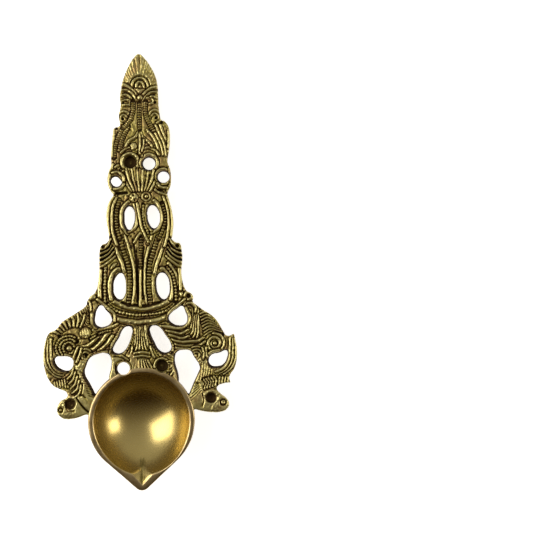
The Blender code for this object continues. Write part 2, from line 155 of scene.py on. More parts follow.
# Colours, as linear red, green and blue.
DULL_WARM, DULL_GREEN = (0.38, 0.262, 0.10), (0.385, 0.315, 0.082)
RUBBED_BRIGHT = (0.64, 0.55, 0.23)
# Grime in the recesses, also used as painted shade on the slopes into the openings.
GRIME_AND_PAINTED_SHADE = (0.040, 0.020, 0.003)
HOLLOW_DARK, HOLLOW_PALE = (0.53, 0.395, 0.135), (0.58, 0.445, 0.165)
OUTSIDE_STAINED, OUTSIDE_CLEAN = (0.40, 0.285, 0.13), (0.58, 0.44, 0.22)
BRUSH_DARK = (0.44, 0.32, 0.11)
SCRAPE_DARK = (0.20, 0.15, 0.035)
PAPER_DARK, PAPER_PALE = (0.86, 0.86, 0.86), (0.90, 0.90, 0.90)
PAPER_GLOW = 0.86
LAMPLIGHT = (1.0, 0.98, 0.95)

# The lights' distance and aim and the camera's place, in metres.
LIGHT_DISTANCE = 0.9
LIGHT_AIM = Vector((0, 0.03, 0))
CAMERA_PLACE = (0.0150, 0.0811, 0.420)
CAMERA_TURN = (radians(-0.87), radians(-5.83), radians(-0.5))
CAMERA_LENS = 50.21
CAMERA_SHIFT = 0.05

# The room's light, as (share of the way from the spout's side to the tip's, colour), and the
# backdrop's colour.
ROOM_LIGHT = [(0.17, (0.026, 0.012, 0.001)), (0.42, (0.165, 0.145, 0.115)), (1.0, (0.55, 0.55, 0.53))]
BACKDROP = (0.86, 0.86, 0.86)

# Sockets of the colour mixing node, which have no names of their own.
MIX_A, MIX_B, MIX_RESULT = 6, 7, 2

CASTING = (Matrix.Translation((0, -(OUTER_SPHERE - OUTER_DEPTH) * sin(TILT) * MM, BOWL_HEIGHT * MM))
           @ Matrix.Rotation(-TILT, 4, "X"))
CASTING_TURN = np.array(CASTING.to_3x3())


def teardrop(angle, radius, flank, tip):
    """Distance from the centre to a circle drawn out to a round tip, at the angle from the tip."""
    angle = np.abs(angle)
    flank = np.maximum(flank, 1e-6)
    tip_centre = (radius - tip) / np.cos(flank)
    tangent = np.arctan2(tip * np.sin(flank), tip_centre + tip * np.cos(flank))
    round_end = np.sqrt(np.maximum(tip ** 2 - (tip_centre * np.sin(angle)) ** 2, 0.0))
    side = radius / np.cos(np.minimum(flank - angle, 1.5))
    reach = np.where(angle < flank, side, radius)
    return np.where(angle < tangent, tip_centre * np.cos(angle) + round_end, reach)


def to_world(points):
    """Casting-plane millimetres to world metres."""
    return points * MM @ CASTING_TURN.T + np.array(CASTING.translation)


def to_casting(points):
    """World metres to casting-plane millimetres."""
    return (points - np.array(CASTING.translation)) @ CASTING_TURN / MM


# ---------------------------------------------------------------- plan shape of the handle

def top_triangles(node):
    """The node's triangles that lie in the rim plane, as (v, u) corners."""
    mesh = node.data
    mesh.calc_loop_triangles()
    world = np.empty(len(mesh.vertices) * 3, np.float32)
    mesh.vertices.foreach_get("co", world)
    corners = np.empty(len(mesh.loop_triangles) * 3, np.int32)
    mesh.loop_triangles.foreach_get("vertices", corners)
    points = to_casting(world.reshape(-1, 3).astype(float))
    triangles = points[corners.reshape(-1, 3)]
    level = np.abs(triangles[:, :, 2]).max(axis=1) < RIM_PLANE_SLACK
    return triangles[level][:, :, :2]


def rasterise(triangle, label, labels):
    """Writes the label into every fine cell whose centre lies in the triangle."""
    low = np.floor((triangle.min(axis=0) - (LOW_V, LOW_U)) / FINE).astype(int)
    high = np.ceil((triangle.max(axis=0) - (LOW_V, LOW_U)) / FINE).astype(int) + 1
    low = np.maximum(low, 0)
    v = LOW_V + (np.arange(low[0], high[0]) + 0.5) * FINE
    u = (LOW_U + (np.arange(low[1], high[1]) + 0.5) * FINE)[:, None]
    sides = []
    for k in range(3):
        (av, au), (bv, bu) = triangle[k - 1], triangle[k]
        sides.append((bv - av) * (u - au) - (bu - au) * (v - av))
    within = ((sides[0] >= 0) & (sides[1] >= 0) & (sides[2] >= 0))
    within |= ((sides[0] <= 0) & (sides[1] <= 0) & (sides[2] <= 0))
    window = labels[low[1]:high[1], low[0]:high[0]]
    window[within[:window.shape[0], :window.shape[1]]] = label


def distance_to(mask, reach):
    """Distance from each cell to the nearest True cell, in millimetres, up to the reach."""
    far = 10 ** 6
    count = mask.shape[1]
    index = np.arange(count)
    last = np.maximum.accumulate(np.where(mask, index, -far), axis=1)
    following = np.minimum.accumulate(np.where(mask, index, far)[:, ::-1], axis=1)[:, ::-1]
    across = np.minimum(np.minimum(index - last, following - index), far).astype(np.float32) ** 2
    best = across.copy()
    for k in range(1, int(reach / FINE) + 2):
        best[k:] = np.minimum(best[k:], across[:-k] + k * k)
        best[:-k] = np.minimum(best[:-k], across[k:] + k * k)
    return np.minimum(np.sqrt(best) * FINE, reach)


def blurred(field, cells):
    """A box blur run twice, which is close to a smooth one."""
    for axis in (0, 1, 0, 1):
        pad = [(0, 0), (0, 0)]
        pad[axis] = (cells + 1, cells)
        total = np.cumsum(np.pad(field, pad, mode="edge"), axis=axis)
        width = 2 * cells + 1
        if axis == 0:
            field = (total[width:] - total[:-width]) / width
        else:
            field = (total[:, width:] - total[:, :-width]) / width
    return field


def plan_of_handle(nodes):
    """Signed distance inside the lamp's outline, and the member each fine cell belongs to."""
    rows = int((HIGH_U - LOW_U) / FINE)
    columns = int((HIGH_V - LOW_V) / FINE)
    labels = np.full((rows, columns), EMPTY, np.int16)
    names = sorted(name for name in nodes if name != "oil_bowl")
    for label, name in enumerate(names):
        for triangle in top_triangles(nodes[name]):
            rasterise(triangle, label, labels)
    v = LOW_V + (np.arange(columns) + 0.5) * FINE
    u = (LOW_U + (np.arange(rows) + 0.5) * FINE)[:, None]
    through_v, through_u, through_radius, _ = COLLAR_HOLES[0]
    bowl = np.hypot(v, u) < RIM_OUTER
    bowl &= np.hypot(v - through_v, u - through_u) > through_radius
    lamp = (labels != EMPTY) | bowl
    for hollow_v, hollow_u, radius in HOLLOWS:
        lamp |= np.hypot(v - hollow_v, u - hollow_u) < radius + FINE
    lamp = distance_to(lamp, 1.0) < SEAM_REACH
    lamp = distance_to(~lamp, 1.0) > SEAM_REACH
    signed = distance_to(~lamp, EDGE_REACH) - distance_to(lamp, EDGE_REACH)
    for _ in range(int(2 * max(radius for _, _, radius in HOLLOWS) / FINE)):
        for axis, shift in NEIGHBOURS:
            near = np.roll(labels, shift, axis)
            labels = np.where(labels == EMPTY, near, labels)
    return blurred(signed.astype(float), 1), labels, names


def sample(field, v, u):
    """Smooth lookup of a fine field at casting-plane points."""
    return between_cells(field, (v - LOW_V) / FINE - 0.5, (u - LOW_U) / FINE - 0.5)


def between_cells(field, column, row):
    """The field's value at places between its cells."""
    x = np.clip(column, 0, field.shape[1] - 1.001)
    y = np.clip(row, 0, field.shape[0] - 1.001)
    column, row = x.astype(int), y.astype(int)
    x, y = x - column, y - row
    lower = field[row, column] * (1 - x) + field[row, column + 1] * x
    upper = field[row + 1, column] * (1 - x) + field[row + 1, column + 1] * x
    return lower * (1 - y) + upper * y


# ---------------------------------------------------------------- relief

def smooth_path(points, steps=5):
    """A Catmull-Rom curve through the points."""
    knots = np.array(points, float)
    if len(knots) < 3:
        return knots
    ends = np.vstack([2 * knots[0] - knots[1], knots, 2 * knots[-1] - knots[-2]])
    t = np.linspace(0, 1, steps, endpoint=False)[:, None]
    curve = []
    for a, b, c, d in zip(ends, ends[1:], ends[2:], ends[3:]):
        bend = 2 * a - 5 * b + 4 * c - d
        curve.append(0.5 * (2 * b + (c - a) * t + bend * t ** 2 + (3 * (b - c) + d - a) * t ** 3))
    return np.vstack(curve + [knots[-1:]])


class Relief:
    """The height of the casting's face over the rim plane, on a grid of the casting plane."""

    def __init__(self):
        self.v = np.arange(LOW_V, HIGH_V + STEP / 2, STEP)
        self.u = np.arange(LOW_U, HIGH_U + STEP / 2, STEP)
        self.height = np.full((len(self.u), len(self.v)), GROUND_LEVEL)

    def window(self, points, reach):
        """The part of the grid near the points: its slices, and its v and u."""
        low = points.min(axis=0) - reach
        high = points.max(axis=0) + reach
        columns = slice(*np.searchsorted(self.v, (low[0], high[0])))
        rows = slice(*np.searchsorted(self.u, (low[1], high[1])))
        return (rows, columns), self.v[columns], self.u[rows][:, None]

    def measure(self, path, reach):
        """Distance to the path, distance along it, and its share of the way, in a window."""
        line = smooth_path(path)
        window, v, u = self.window(line, reach)
        start, step = line[:-1], np.diff(line, axis=0)
        length = np.hypot(step[:, 0], step[:, 1])
        before = np.concatenate([[0.0], np.cumsum(length)[:-1]])
        away = np.full(np.broadcast(v, u).shape, 1e3)
        along = np.zeros_like(away)
        for (sv, su), (dv, du), size, done in zip(start, step, length, before):
            if size < 1e-6:
                continue
            share = np.clip(((v - sv) * dv + (u - su) * du) / size ** 2, 0, 1)
            apart = np.hypot(v - sv - share * dv, u - su - share * du)
            nearer = apart < away
            away = np.where(nearer, apart, away)
            along = np.where(nearer, done + share * size, along)
        return window, away, along, along / max(length.sum(), 1e-6)

    def lift(self, window, shape):
        """Raises the window to the shape where that is higher."""
        self.height[window] = np.maximum(self.height[window], shape)

    def undercut(self, window, outside):
        """A narrow channel around a raised shape, where its outside distance is small."""
        rise = np.clip(outside / MOAT, 0, 1) ** 2
        cut = MOAT_LEVEL * (1 - rise)
        self.height[window] = np.where(outside < MOAT, np.minimum(self.height[window], cut),
                                       self.height[window])

    def cord(self, path, radius, top=-0.1, ends=1.0):
        """A rounded cord; its radius shrinks to a share of itself at the ends."""
        window, away, _, share = self.measure(path, radius + MOAT)
        swell = ends + (1 - ends) * np.sin(pi * share)
        self.undercut(window, away - radius * swell)
        inside = 1 - (away / (radius * swell)) ** 2
        rise = top - radius * swell * (1 - np.sqrt(np.maximum(inside, 0)))
        self.lift(window, np.where(inside > 0, rise - (1 - swell) * radius * 0.5, NOWHERE))

    def beads(self, path, radius, pitch, top=-0.15):
        """A row of round beads."""
        window, away, along, _ = self.measure(path, radius + MOAT)
        self.undercut(window, away - radius)
        offset = np.mod(along, pitch) - pitch / 2
        inside = 1 - (away ** 2 + offset ** 2) / radius ** 2
        rise = top - radius * (1 - np.sqrt(np.maximum(inside, 0)))
        self.lift(window, np.where(inside > 0, rise, NOWHERE))

    def ladder(self, path, radius, pitch, top=-0.2, depth=1.2):
        """A flat band crossed by bars."""
        window, away, along, _ = self.measure(path, radius + MOAT)
        self.undercut(window, away - radius)
        bars = np.clip(BAR_SHARE - BAR_SHARPNESS * np.cos(2 * pi * along / pitch), 0, 1)
        flank = np.clip((radius - away) / BAND_FLANK, 0, 1)
        rise = top - depth * (1 - bars) - (1 - flank) * BAND_ROUND
        self.lift(window, np.where(away < radius, rise, NOWHERE))

    def sheet(self, path, radius, top):
        """A broad plain swelling with no channel round it."""
        window, away, _, _ = self.measure(path, radius)
        self.lift(window, np.where(away < radius, top - SHEET_FALL * (away / radius) ** 4, NOWHERE))

    def groove(self, path, radius, depth, start=1.0):
        """A rounded channel, which may start shallow, cut into whatever is already there."""
        window, away, _, share = self.measure(path, radius)
        deep = depth * (start + (1 - start) * share)
        self.height[window] -= deep * np.clip(1 - (away / radius) ** 2, 0, 1)

    def boss(self, v, u, radius, top=-0.1, steep=0.7):
        """A round dome."""
        window, across, along = self.window(np.array([(v, u)]), radius + MOAT)
        away = np.hypot(across - v, along - u)
        self.undercut(window, away - radius)
        inside = 1 - (away / radius) ** 2
        rise = top - radius * steep * (1 - np.sqrt(np.maximum(inside, 0)))
        self.lift(window, np.where(inside > 0, rise, NOWHERE))

    def pit(self, v, u, radius, bottom, steep):
        """A hollow; a small steepness makes it a cone, a large one a drilled hole."""
        window, across, along = self.window(np.array([(v, u)]), radius)
        share = np.hypot(across - v, along - u) / radius
        cut = bottom * np.clip(1 - share ** steep, 0, 1)
        self.height[window] = np.where(share < 1, np.minimum(self.height[window], cut),
                                       self.height[window])

    def ring(self, v, u, radius, cord, top=-0.1, start=0.0, end=360.0):
        """A cord bent into a circle or an arc of one."""
        turns = np.radians(np.linspace(start, end, ARC_POINTS))
        self.cord([(v + radius * cos(a), u + radius * sin(a)) for a in turns], cord, top)

    def bead_ring(self, v, u, radius, start, end, bead, pitch, top=-0.05):
        """Beads along a circle or an arc of one."""
        turns = np.radians(np.linspace(start, end, ARC_POINTS))
        self.beads([(v + radius * cos(a), u + radius * sin(a)) for a in turns], bead, pitch, top)

    def spiral(self, v, u, radius, turns, cord, top=-0.1, start=0.0, hand=1):
        """A cord that winds in to the centre."""
        share = np.linspace(0, 1, int(12 * turns))
        path = []
        for s in share:
            angle = radians(start) + hand * 2 * pi * turns * s
            path.append((v + radius * (1 - 0.85 * s) * cos(angle),
                         u + radius * (1 - 0.85 * s) * sin(angle)))
        self.cord(path, cord, top)

    def arcs(self, v, u, radii, start, end, cord, top):
        """Nested arcs about one centre."""
        for radius in radii:
            self.ring(v, u, radius, cord, top, start, end)


def ring_band(face):
    face.cord([(-15.4, 63.4), (-12, 61), (-6, 58.7), (0, 57.8), (6, 58.5), (12, 60.6),
               (15.6, 62.8)], 1.2)
    face.beads([(-17.2, 61), (-14.5, 58.3), (-9, 56.2), (0, 54.9), (9, 55.9), (14.8, 57.9),
                (17.6, 60.4)], 0.85, 1.75)
    face.cord([(-22.3, 67.5), (-20.6, 61.5), (-16.4, 55.6), (-11.5, 52.8), (-5.5, 51.5), (0, 51.2),
               (6, 51.5), (12.0, 53.2), (17.0, 56.6), (20.6, 61.5), (22.6, 67)], 1.7, 0.0)
    face.groove([(-10, 61.9), (-4, 60.3), (0, 59.8), (4, 60.1), (10, 61.6)], 0.7, 1.3)
    # left limb
    face.cord([(-21.4, 64), (-21.3, 71), (-20.8, 78.5)], 1.1)
    face.beads([(-18.6, 61.5), (-18.7, 70), (-18.2, 80)], 0.9, 1.75)
    face.cord([(-15.4, 63.4), (-16.3, 69), (-15.4, 75), (-12.6, 78.9), (-10.4, 79.4)], 1.1)
    face.cord([(-15.4, 79), (-14, 81), (-12.6, 82.2)], 1.0, -0.25, 0.5)
    # right limb
    face.cord([(14.6, 82), (17.9, 77), (19.9, 71), (21.4, 65)], 1.1)
    face.cord([(15.6, 62.8), (16.8, 69), (15.6, 75.4), (12.6, 79), (10.8, 79.2)], 1.0)
    face.beads([(18.3, 62), (18.2, 69), (16.6, 76), (14, 80)], 0.8, 1.7, -0.3)
    face.cord([(20.8, 68), (20.6, 74), (20.2, 80)], 0.9, -0.3)


def coil_bands_below(face):
    # left
    face.ladder([(-6.4, 61), (-5.6, 70), (-6.2, 80), (-8.6, 88), (-10.6, 96)], 1.15, 1.6)
    face.cord([(-4.4, 61), (-3.2, 70), (-3.6, 80), (-5.4, 88), (-8.0, 97)], 0.75)
    face.cord([(-8.6, 78), (-10.2, 83.5), (-12.5, 89), (-14.4, 96)], 1.0)
    face.groove([(-2.0, 62), (-1.8, 70), (-2.0, 80), (-2.9, 88), (-4.2, 95)], 0.7, 1.2)
    # right
    face.cord([(3.2, 61), (1.9, 70), (2.1, 80), (3.6, 88), (6.0, 97)], 0.75)
    face.ladder([(5.0, 61), (4.2, 70), (4.6, 80), (6.6, 88), (9.0, 96)], 1.15, 1.6)
    face.cord([(7.3, 77), (8.6, 82), (10.6, 87.5), (13.2, 95)], 1.0)


def centre_rib(face):
    face.cord([(-0.3, 59.5), (-0.2, 70), (0.0, 80), (0.3, 92), (0.5, 97)], 0.7, -0.65)
    face.ladder([(0.0, 80.5), (0.2, 88), (0.5, 96)], 1.0, 1.4, -0.45)
    face.groove([(-1.7, 61), (-1.6, 80), (-1.8, 90)], 0.5, 1.0)
    face.groove([(1.3, 62), (1.2, 80), (1.9, 91)], 0.5, 1.0)
    face.cord([(-3.4, 93), (0.5, 98.3), (4.0, 92.6)], 0.8)


def shoulder_leaves(face):
    for side in (-1, 1):
        for k in range(5):
            low = 80.4 + 2.3 * k
            leaf = [(side * 21.4, low), (side * 19.4, low + 0.6), (side * 16.6, low + 2.6),
                    (side * (13.2 + 0.5 * k), low + 5.6)]
            face.cord(leaf, 0.78, -0.1, 0.7)
            if k > 1:
                face.groove([(v, u - 1.15) for v, u in leaf], 0.55, 1.5, 1.4)
    face.pit(-19.6, 91.2, 1.5, -2.6, 2)
    face.pit(19.4, 91.2, 1.5, -2.6, 2)
    face.groove([(-20.6, 86.6), (-18, 88.6), (-16, 91)], 0.5, 0.8)
    face.groove([(20.6, 86.6), (18, 88.6), (16, 91)], 0.5, 0.8)


def coil_bands_above(face):
    # left: outer cord, inner cord and ladder, then a cord hugging the oval
    face.cord([(-16.3, 97), (-16.8, 103), (-16.9, 109), (-15.9, 114), (-13.6, 117.6)], 0.9, 0.0)
    face.cord([(-12.2, 92), (-14.4, 98.5), (-14.9, 105), (-14.4, 112), (-12.2, 117)], 0.8, -0.2)
    face.ladder([(-10.8, 95), (-12.3, 102), (-12.4, 109), (-10.8, 116)], 0.95, 1.5)
    face.cord([(-6.8, 98), (-9.4, 102), (-10.0, 107.5), (-8.9, 112), (-6.0, 115)], 1.0, -0.05)
    # right
    face.cord([(16.2, 97), (16.6, 103), (16.3, 109), (14.9, 115), (13.2, 119.5)], 0.9, 0.0)
    face.cord([(12.6, 91), (14.4, 98), (14.9, 105), (14, 112), (12, 118)], 0.8, -0.2)
    face.ladder([(9.6, 95), (12.2, 101), (12.9, 107), (11.6, 114)], 0.95, 1.5)
    face.cord([(6.0, 98.6), (9.4, 100.6), (11.2, 106), (10.2, 112), (7.4, 115.4)], 1.0, -0.05)


def centre_braid(face):
    face.cord([(-6, 99), (-3.2, 100.5), (-1.8, 104), (-1.7, 109), (-3.2, 113.5)], 0.9, -0.05)
    face.cord([(-1.6, 114), (-0.5, 108), (0.4, 102), (2.0, 98), (4.2, 93.6)], 0.8)
    face.beads([(1.7, 113.5), (1.6, 108), (2.2, 103), (4, 98.5)], 0.75, 1.5, -0.25)
    face.cord([(5.8, 99.6), (3.8, 103), (2.9, 108), (3.6, 113)], 0.7, -0.15)


def waist(face):
    for share in np.linspace(0, 1, 8):
        head, foot = -10.6 + 21.2 * share, -4.6 + 10.0 * share
        outer = abs(share - 0.5) > 0.3
        face.cord([(head, 132.6 + 1.8 * sin(pi * share)), ((head + foot) / 2 * 1.06, 126.6),
                   (foot, 120.6)], 0.78 if outer else 0.6, 0.0 if outer else -0.45)
    face.ring(-9.8, 132.2, 1.4, 0.6, 0.0)
    face.boss(-3.3, 117, 2.5, 0.0, 0.3)
    face.pit(-3.7, 118.2, 0.8, -1.4, 3)
    face.pit(-2.9, 115.6, 0.8, -1.4, 3)
    face.pit(-4.9, 116.6, 0.6, -1.2, 3)
    face.boss(3.2, 117.6, 2.6, 0.0, 0.3)
    face.pit(3.2, 117.6, 1.9, -1.3, 6)
    face.boss(3.3, 117.7, 0.95, 0.0, 0.5)
    # loops beside the waist gap and the round hole
    face.cord([(-13.8, 119.4), (-15.9, 123), (-16.3, 127), (-15.5, 131.4), (-14.0, 134.6)], 1.0,
              -0.05)
    face.cord([(-8.6, 124.0), (-8.6, 128.0), (-11.2, 130.6), (-14.4, 130.4)], 0.95)
    face.cord([(-13.6, 121.6), (-10.4, 121.8), (-8.4, 124.2)], 0.8)
    face.cord([(-12.8, 133.4), (-10.8, 134.4), (-8.4, 134.2)], 0.7)
    face.ring(12.5, 128.5, 3.95, 0.85, -0.05)
    face.cord([(14.2, 120.8), (16.0, 124.4), (16.2, 128), (15.3, 133)], 0.6)
    face.cord([(9.2, 124.6), (11.2, 122.6), (14.2, 122.4)], 0.8, -0.15)
    face.cord([(8.0, 121.4), (10.6, 119.4), (13.6, 118.6)], 0.7, -0.15)
    face.groove([(-12.4, 119.4), (-7, 119.5)], 0.75, 1.6)
    face.groove([(9.6, 121.3), (11.8, 120.9)], 0.7, 1.6)


def upper_panel(face):
    face.ladder([(-8.6, 154.2), (-11.0, 149.8), (-12.8, 145), (-13.4, 138.6)], 1.2, 1.2, -0.1, 1.4)
    face.ladder([(-5.8, 155.4), (-7.9, 151), (-9.6, 147), (-10.4, 142.6)], 1.2, 1.2, -0.1, 1.4)
    face.cord([(-13.4, 153.8), (-13.6, 149.6), (-14.4, 145), (-14.5, 139)], 0.7)
    face.cord([(7.4, 153.4), (9.8, 149.6), (12.4, 146)], 1.1)
    for share in np.linspace(0, 1, 4):
        face.cord([(10.6 - 6.4 * share, 157.4 - 4.2 * share), (12.6 - 5.6 * share, 151.4 - 1.4 * share),
                   (14.8 - 5.4 * share, 145.2 - 0.4 * share), (15.0 - 4.6 * share, 139.8 + 0.6 * share)],
                  0.85, -0.1)
    face.cord([(15.3, 153.6), (15.4, 149), (15.0, 144)], 0.7)
    face.ring(-5.0, 136.0, 4.5, 0.95, 0.0, -30, 215)
    face.ring(4.9, 135.7, 4.4, 0.95, 0.0, -35, 210)
    face.ring(-4.6, 138.0, 5.9, 0.75, -0.1, 15, 150)
    face.ring(4.6, 138.0, 5.8, 0.75, -0.1, 20, 150)
    face.cord([(-0.4, 152.6), (-2.4, 149.4), (-5.4, 147.6), (-7.4, 144.8)], 0.8, -0.05)
    face.cord([(0.4, 152.6), (1.8, 149.4), (4.4, 147.2), (6.6, 144.6)], 0.8, -0.05)
    face.spiral(-3.4, 144.8, 1.7, 1.4, 0.65, -0.05, 250)
    face.cord([(0.0, 151), (0.1, 146), (0.0, 140.6)], 0.7, -0.15)
    face.cord([(2.2, 148.2), (2.0, 145), (1.2, 142)], 0.6, -0.15)
    face.pit(-12, 154, 1.0, -2.3, 3)
    face.pit(11.6, 157.6, 1.4, -2.5, 3)


def finial_leaf(face):
    face.sheet([(0, 180), (0, 190)], 9.5, -0.1)
    for angle in np.linspace(4, 176, 15):
        turn = radians(angle)
        near, far = 6.6, 9.4 + 8.1 * sin(turn) ** 6
        lean = 1.6 * abs(cos(turn))
        face.groove([(0.4 + near * cos(turn), 177.4 + near * sin(turn)),
                     (0.4 + (near + far) / 2 * cos(turn), 177.9 + lean + (near + far) / 2 * sin(turn)),
                     (0.3 + 0.93 * far * cos(turn), 178.6 + 2 * lean + far * sin(turn))], 0.42, 1.3,
                    0.15)
    face.arcs(0.4, 177.2, [2.1, 4.3], -15, 195, 0.75, 0.0)
    face.boss(0.4, 176.6, 1.0, -0.2)
    face.sheet([(-6, 168), (6, 168)], 5.0, -0.7)
    face.cord([(-9.8, 177.8), (-6.8, 177.2), (-3.8, 175), (-0.6, 171)], 0.95, 0.0)
    face.cord([(-9.9, 174.8), (-6.6, 174.8), (-3.8, 172.8), (-1.4, 169.6)], 0.8, -0.05)
    face.cord([(-9.4, 171.9), (-6.8, 172.2), (-4.6, 170.6), (-3.6, 168)], 0.7, -0.05)
    face.cord([(9.4, 176.6), (6.4, 176.2), (3.4, 174), (1.4, 171)], 0.9, 0.0)
    face.cord([(9.4, 173.8), (6.4, 173.8), (4.0, 172), (2.2, 169.4)], 0.75, -0.05)
    face.boss(0.4, 170.8, 1.5, 0.0)
    face.cord([(-9.4, 168.4), (-7.0, 169.6), (-4.8, 168.6), (-5.2, 166.6), (-8.4, 166.6)], 0.7, -0.05)
    face.ring(5.6, 169.2, 1.8, 0.7, -0.05, -30, 300)
    face.cord([(9.2, 170.8), (8.0, 171.6), (6.0, 171.4)], 0.6)
    face.pit(-8.4, 167.9, 0.9, -2.2, 3)
    face.pit(8.4, 168.4, 1.1, -2.2, 3)
    face.arcs(-8.2, 159.8, [1.8, 3.4], 20, 250, 0.75, -0.1)
    face.arcs(8.2, 160.6, [1.8, 3.4], -70, 160, 0.75, -0.1)
    face.pit(-8.9, 159.2, 1.1, -2.4, 3)
    face.pit(8.9, 160, 1.1, -2.4, 3)
    face.ladder([(-3.2, 168.4), (-3.4, 163.6), (-5.0, 158.6), (-8.6, 154.2)], 1.15, 1.2, -0.1, 1.4)
    face.ladder([(3.4, 168.4), (3.2, 163.6), (4.4, 158.6), (7.4, 153.4)], 1.15, 1.2, -0.1, 1.4)
    face.ladder([(0.2, 153.6), (0.0, 160), (0.1, 168)], 1.0, 1.3, -0.2, 1.5)


def lotus_fan(face):
    face.sheet([(0, 48), (0, 38)], 4.5, -0.5)
    for share in np.linspace(-1, 1, 6):
        face.cord([(2.2 * share, 49.2), (2.5 * share, 44), (3.3 * share, 39.4), (4.9 * share, 36.0)],
                  0.62, -0.05)
    for share in np.linspace(-1, 1, 7):
        face.cord([(3.0 * share + 0.2, 32.2), (3.9 * share + 0.3, 29.8), (5.2 * share + 0.4, 27.0)],
                  0.62, -0.15)
    face.cord([(-4.0, 34.9), (0.1, 35.5), (4.4, 34.9)], 0.75, 0.0)
    face.cord([(-3.6, 33.1), (0.2, 33.7), (4.2, 33.1)], 0.7, -0.05)
    face.beads([(-4.6, 48.2), (-4.9, 43.6), (-6.4, 39.2), (-8.8, 35.2), (-10.4, 33.2)], 0.75, 1.5, -0.1)
    face.beads([(4.6, 48.2), (4.8, 44), (6.4, 39.8), (8.8, 35.6), (10.4, 33.6)], 0.75, 1.5, -0.1)
    face.cord([(-6.8, 32.2), (-5.2, 35.4), (-4.6, 38.6)], 0.6, -0.2)
    face.cord([(7.0, 32.6), (5.4, 35.8), (4.7, 38.8)], 0.6, -0.2)


def collars(face):
    face.sheet([(-16, 22), (-15.0, 29), (-12, 33.6)], 3.4, -0.15)
    face.sheet([(-12.6, 24.2), (-9.3, 27.2), (-6, 30)], 4.6, -0.25)
    face.ring(-9.3, 27.2, 3.75, 0.4, -0.02, -10, 235)
    face.cord([(-14.6, 34.6), (-10.6, 34.0), (-7.0, 31.8)], 0.65, -0.2)
    face.ring(10.7, 28.2, 3.95, 0.6, -0.05, -60, 190)
    face.arcs(14.4, 28, [1.3, 2.6], -110, 110, 0.6, -0.05)
    face.cord([(15.4, 23.4), (17.8, 27), (17.0, 32), (12.8, 35.2)], 0.7, -0.15)
    face.sheet([(19.6, 20), (18.6, 26), (18.2, 31)], 2.4, -0.2)


def left_wing(face):
    for k in range(6):
        share = k / 5
        face.cord([(-31.4 + 4.4 * share, 57.4 + 7.2 * share), (-29.4 + 3.6 * share, 54.4 + 5.2 * share),
                   (-27.4 + 1.6 * share, 50.6 + 5.4 * share)], 0.72, -0.1 - 0.1 * (k % 2))
    face.boss(-28.8, 46.2, 3.0, 0.0, 0.35)
    for k in range(4):
        face.groove([(-30.8 + 1.3 * k, 48.6), (-30.2 + 1.3 * k, 44.2)], 0.32, 0.7)
    face.cord([(-31.2, 38.6), (-27.6, 39.4), (-24.4, 42), (-21.0, 46.2)], 0.95, 0.0)
    face.cord([(-27.2, 36.8), (-23.4, 38.6), (-19.8, 42.4), (-16.6, 46.6)], 1.2, -0.05)
    face.cord([(-21.8, 37.0), (-18.0, 39.8), (-14.8, 44.4)], 1.1)
    face.beads([(-16.2, 35.8), (-15.2, 39.8), (-12.7, 44.0), (-10.2, 48.6)], 0.75, 1.4, -0.1)
    face.cord([(-24.6, 47.4), (-21, 48.0), (-16.4, 48.8), (-12.2, 50.6)], 0.85, 0.0)
    face.beads([(-26.4, 42.8), (-23.6, 44.6), (-20, 46.2), (-15.6, 47.4)], 0.6, 1.2, -0.25)
    face.cord([(-25.4, 56), (-25.2, 51.4), (-23.2, 48.4)], 0.85, -0.05)
    face.cord([(-13.6, 52.2), (-14, 56), (-18.4, 60), (-22.6, 63.4)], 0.85, -0.15)
    face.boss(-25.2, 64.8, 1.9, -0.05, 0.5)
    face.arcs(-28.9, 34.4, [1.9, 3.5], 40, 290, 0.65, -0.05)
    face.pit(-28.3, 34.5, 1.2, -2.7, 3)
    face.cord([(-25.2, 33.8), (-21.6, 35.6), (-18.0, 36.2)], 0.8)
    face.pit(-33, 41.8, 1.5, -2.8, 3)
    face.pit(-31.6, 50.6, 1.3, -2.8, 3)
    face.pit(-27.4, 61.4, 0.9, -2.5, 3)
    face.pit(-22.6, 45.0, 1.0, -2.2, 3)


def right_wing(face):
    face.ring(25, 64.8, 2.0, 0.85, 0.0)
    face.pit(25, 64.8, 1.0, -2.2, 3)
    face.ring(24.9, 55.4, 2.0, 0.7, 0.0)
    face.pit(24.9, 55.4, 1.0, -2.0, 3)
    for k in range(4):
        face.cord([(27.2 + 0.6 * k, 60.4 - 0.8 * k), (27.4 + 0.9 * k, 56), (26.8 + 1.1 * k, 51),
                   (25.6 + 1.4 * k, 46.4 - 0.5 * k), (23.4 + 1.9 * k, 44.0 - 0.6 * k)], 0.6)
    face.cord([(9.6, 48.8), (13.6, 48.6), (19.6, 47.6), (24.4, 49.8), (25.4, 54), (23.6, 58.4)], 0.9,
              0.0)
    face.cord([(11.4, 46.8), (15.2, 46.2), (20.6, 45.0), (24.6, 46.6)], 0.8, -0.05)
    face.cord([(12.8, 44.8), (16.4, 43.8), (21.0, 42.6), (25, 43.4)], 0.75)
    face.cord([(14.4, 42.2), (18.4, 40.9), (24, 40.6), (29.6, 40.9), (33, 43)], 0.85, 0.0)
    face.cord([(15.6, 39.9), (19.8, 38.8), (25, 38.6), (30.4, 38.7), (33.6, 40.6)], 0.75, -0.05)
    face.cord([(17.2, 37.8), (21, 37.2), (25.2, 36.8), (29, 36.8)], 0.7)
    face.arcs(28.6, 33.3, [1.6, 3.2, 4.8], -80, 115, 0.6, -0.05)
    face.boss(28.4, 33.3, 0.9, 0.0)
    face.beads([(16.2, 35.4), (16.4, 38.6), (14.4, 42.2), (10.9, 47.4)], 0.7, 1.4, -0.15)
    face.cord([(13.6, 52.2), (15.2, 56.6), (19.4, 60), (23, 63)], 0.85, -0.15)
    face.cord([(24.4, 60.6), (26.6, 60.6), (28.6, 58.6), (28.4, 56.2)], 0.7)
    face.pit(33.4, 36.2, 1.2, -2.6, 3)
    face.pit(31, 57.6, 0.9, -2.4, 3)


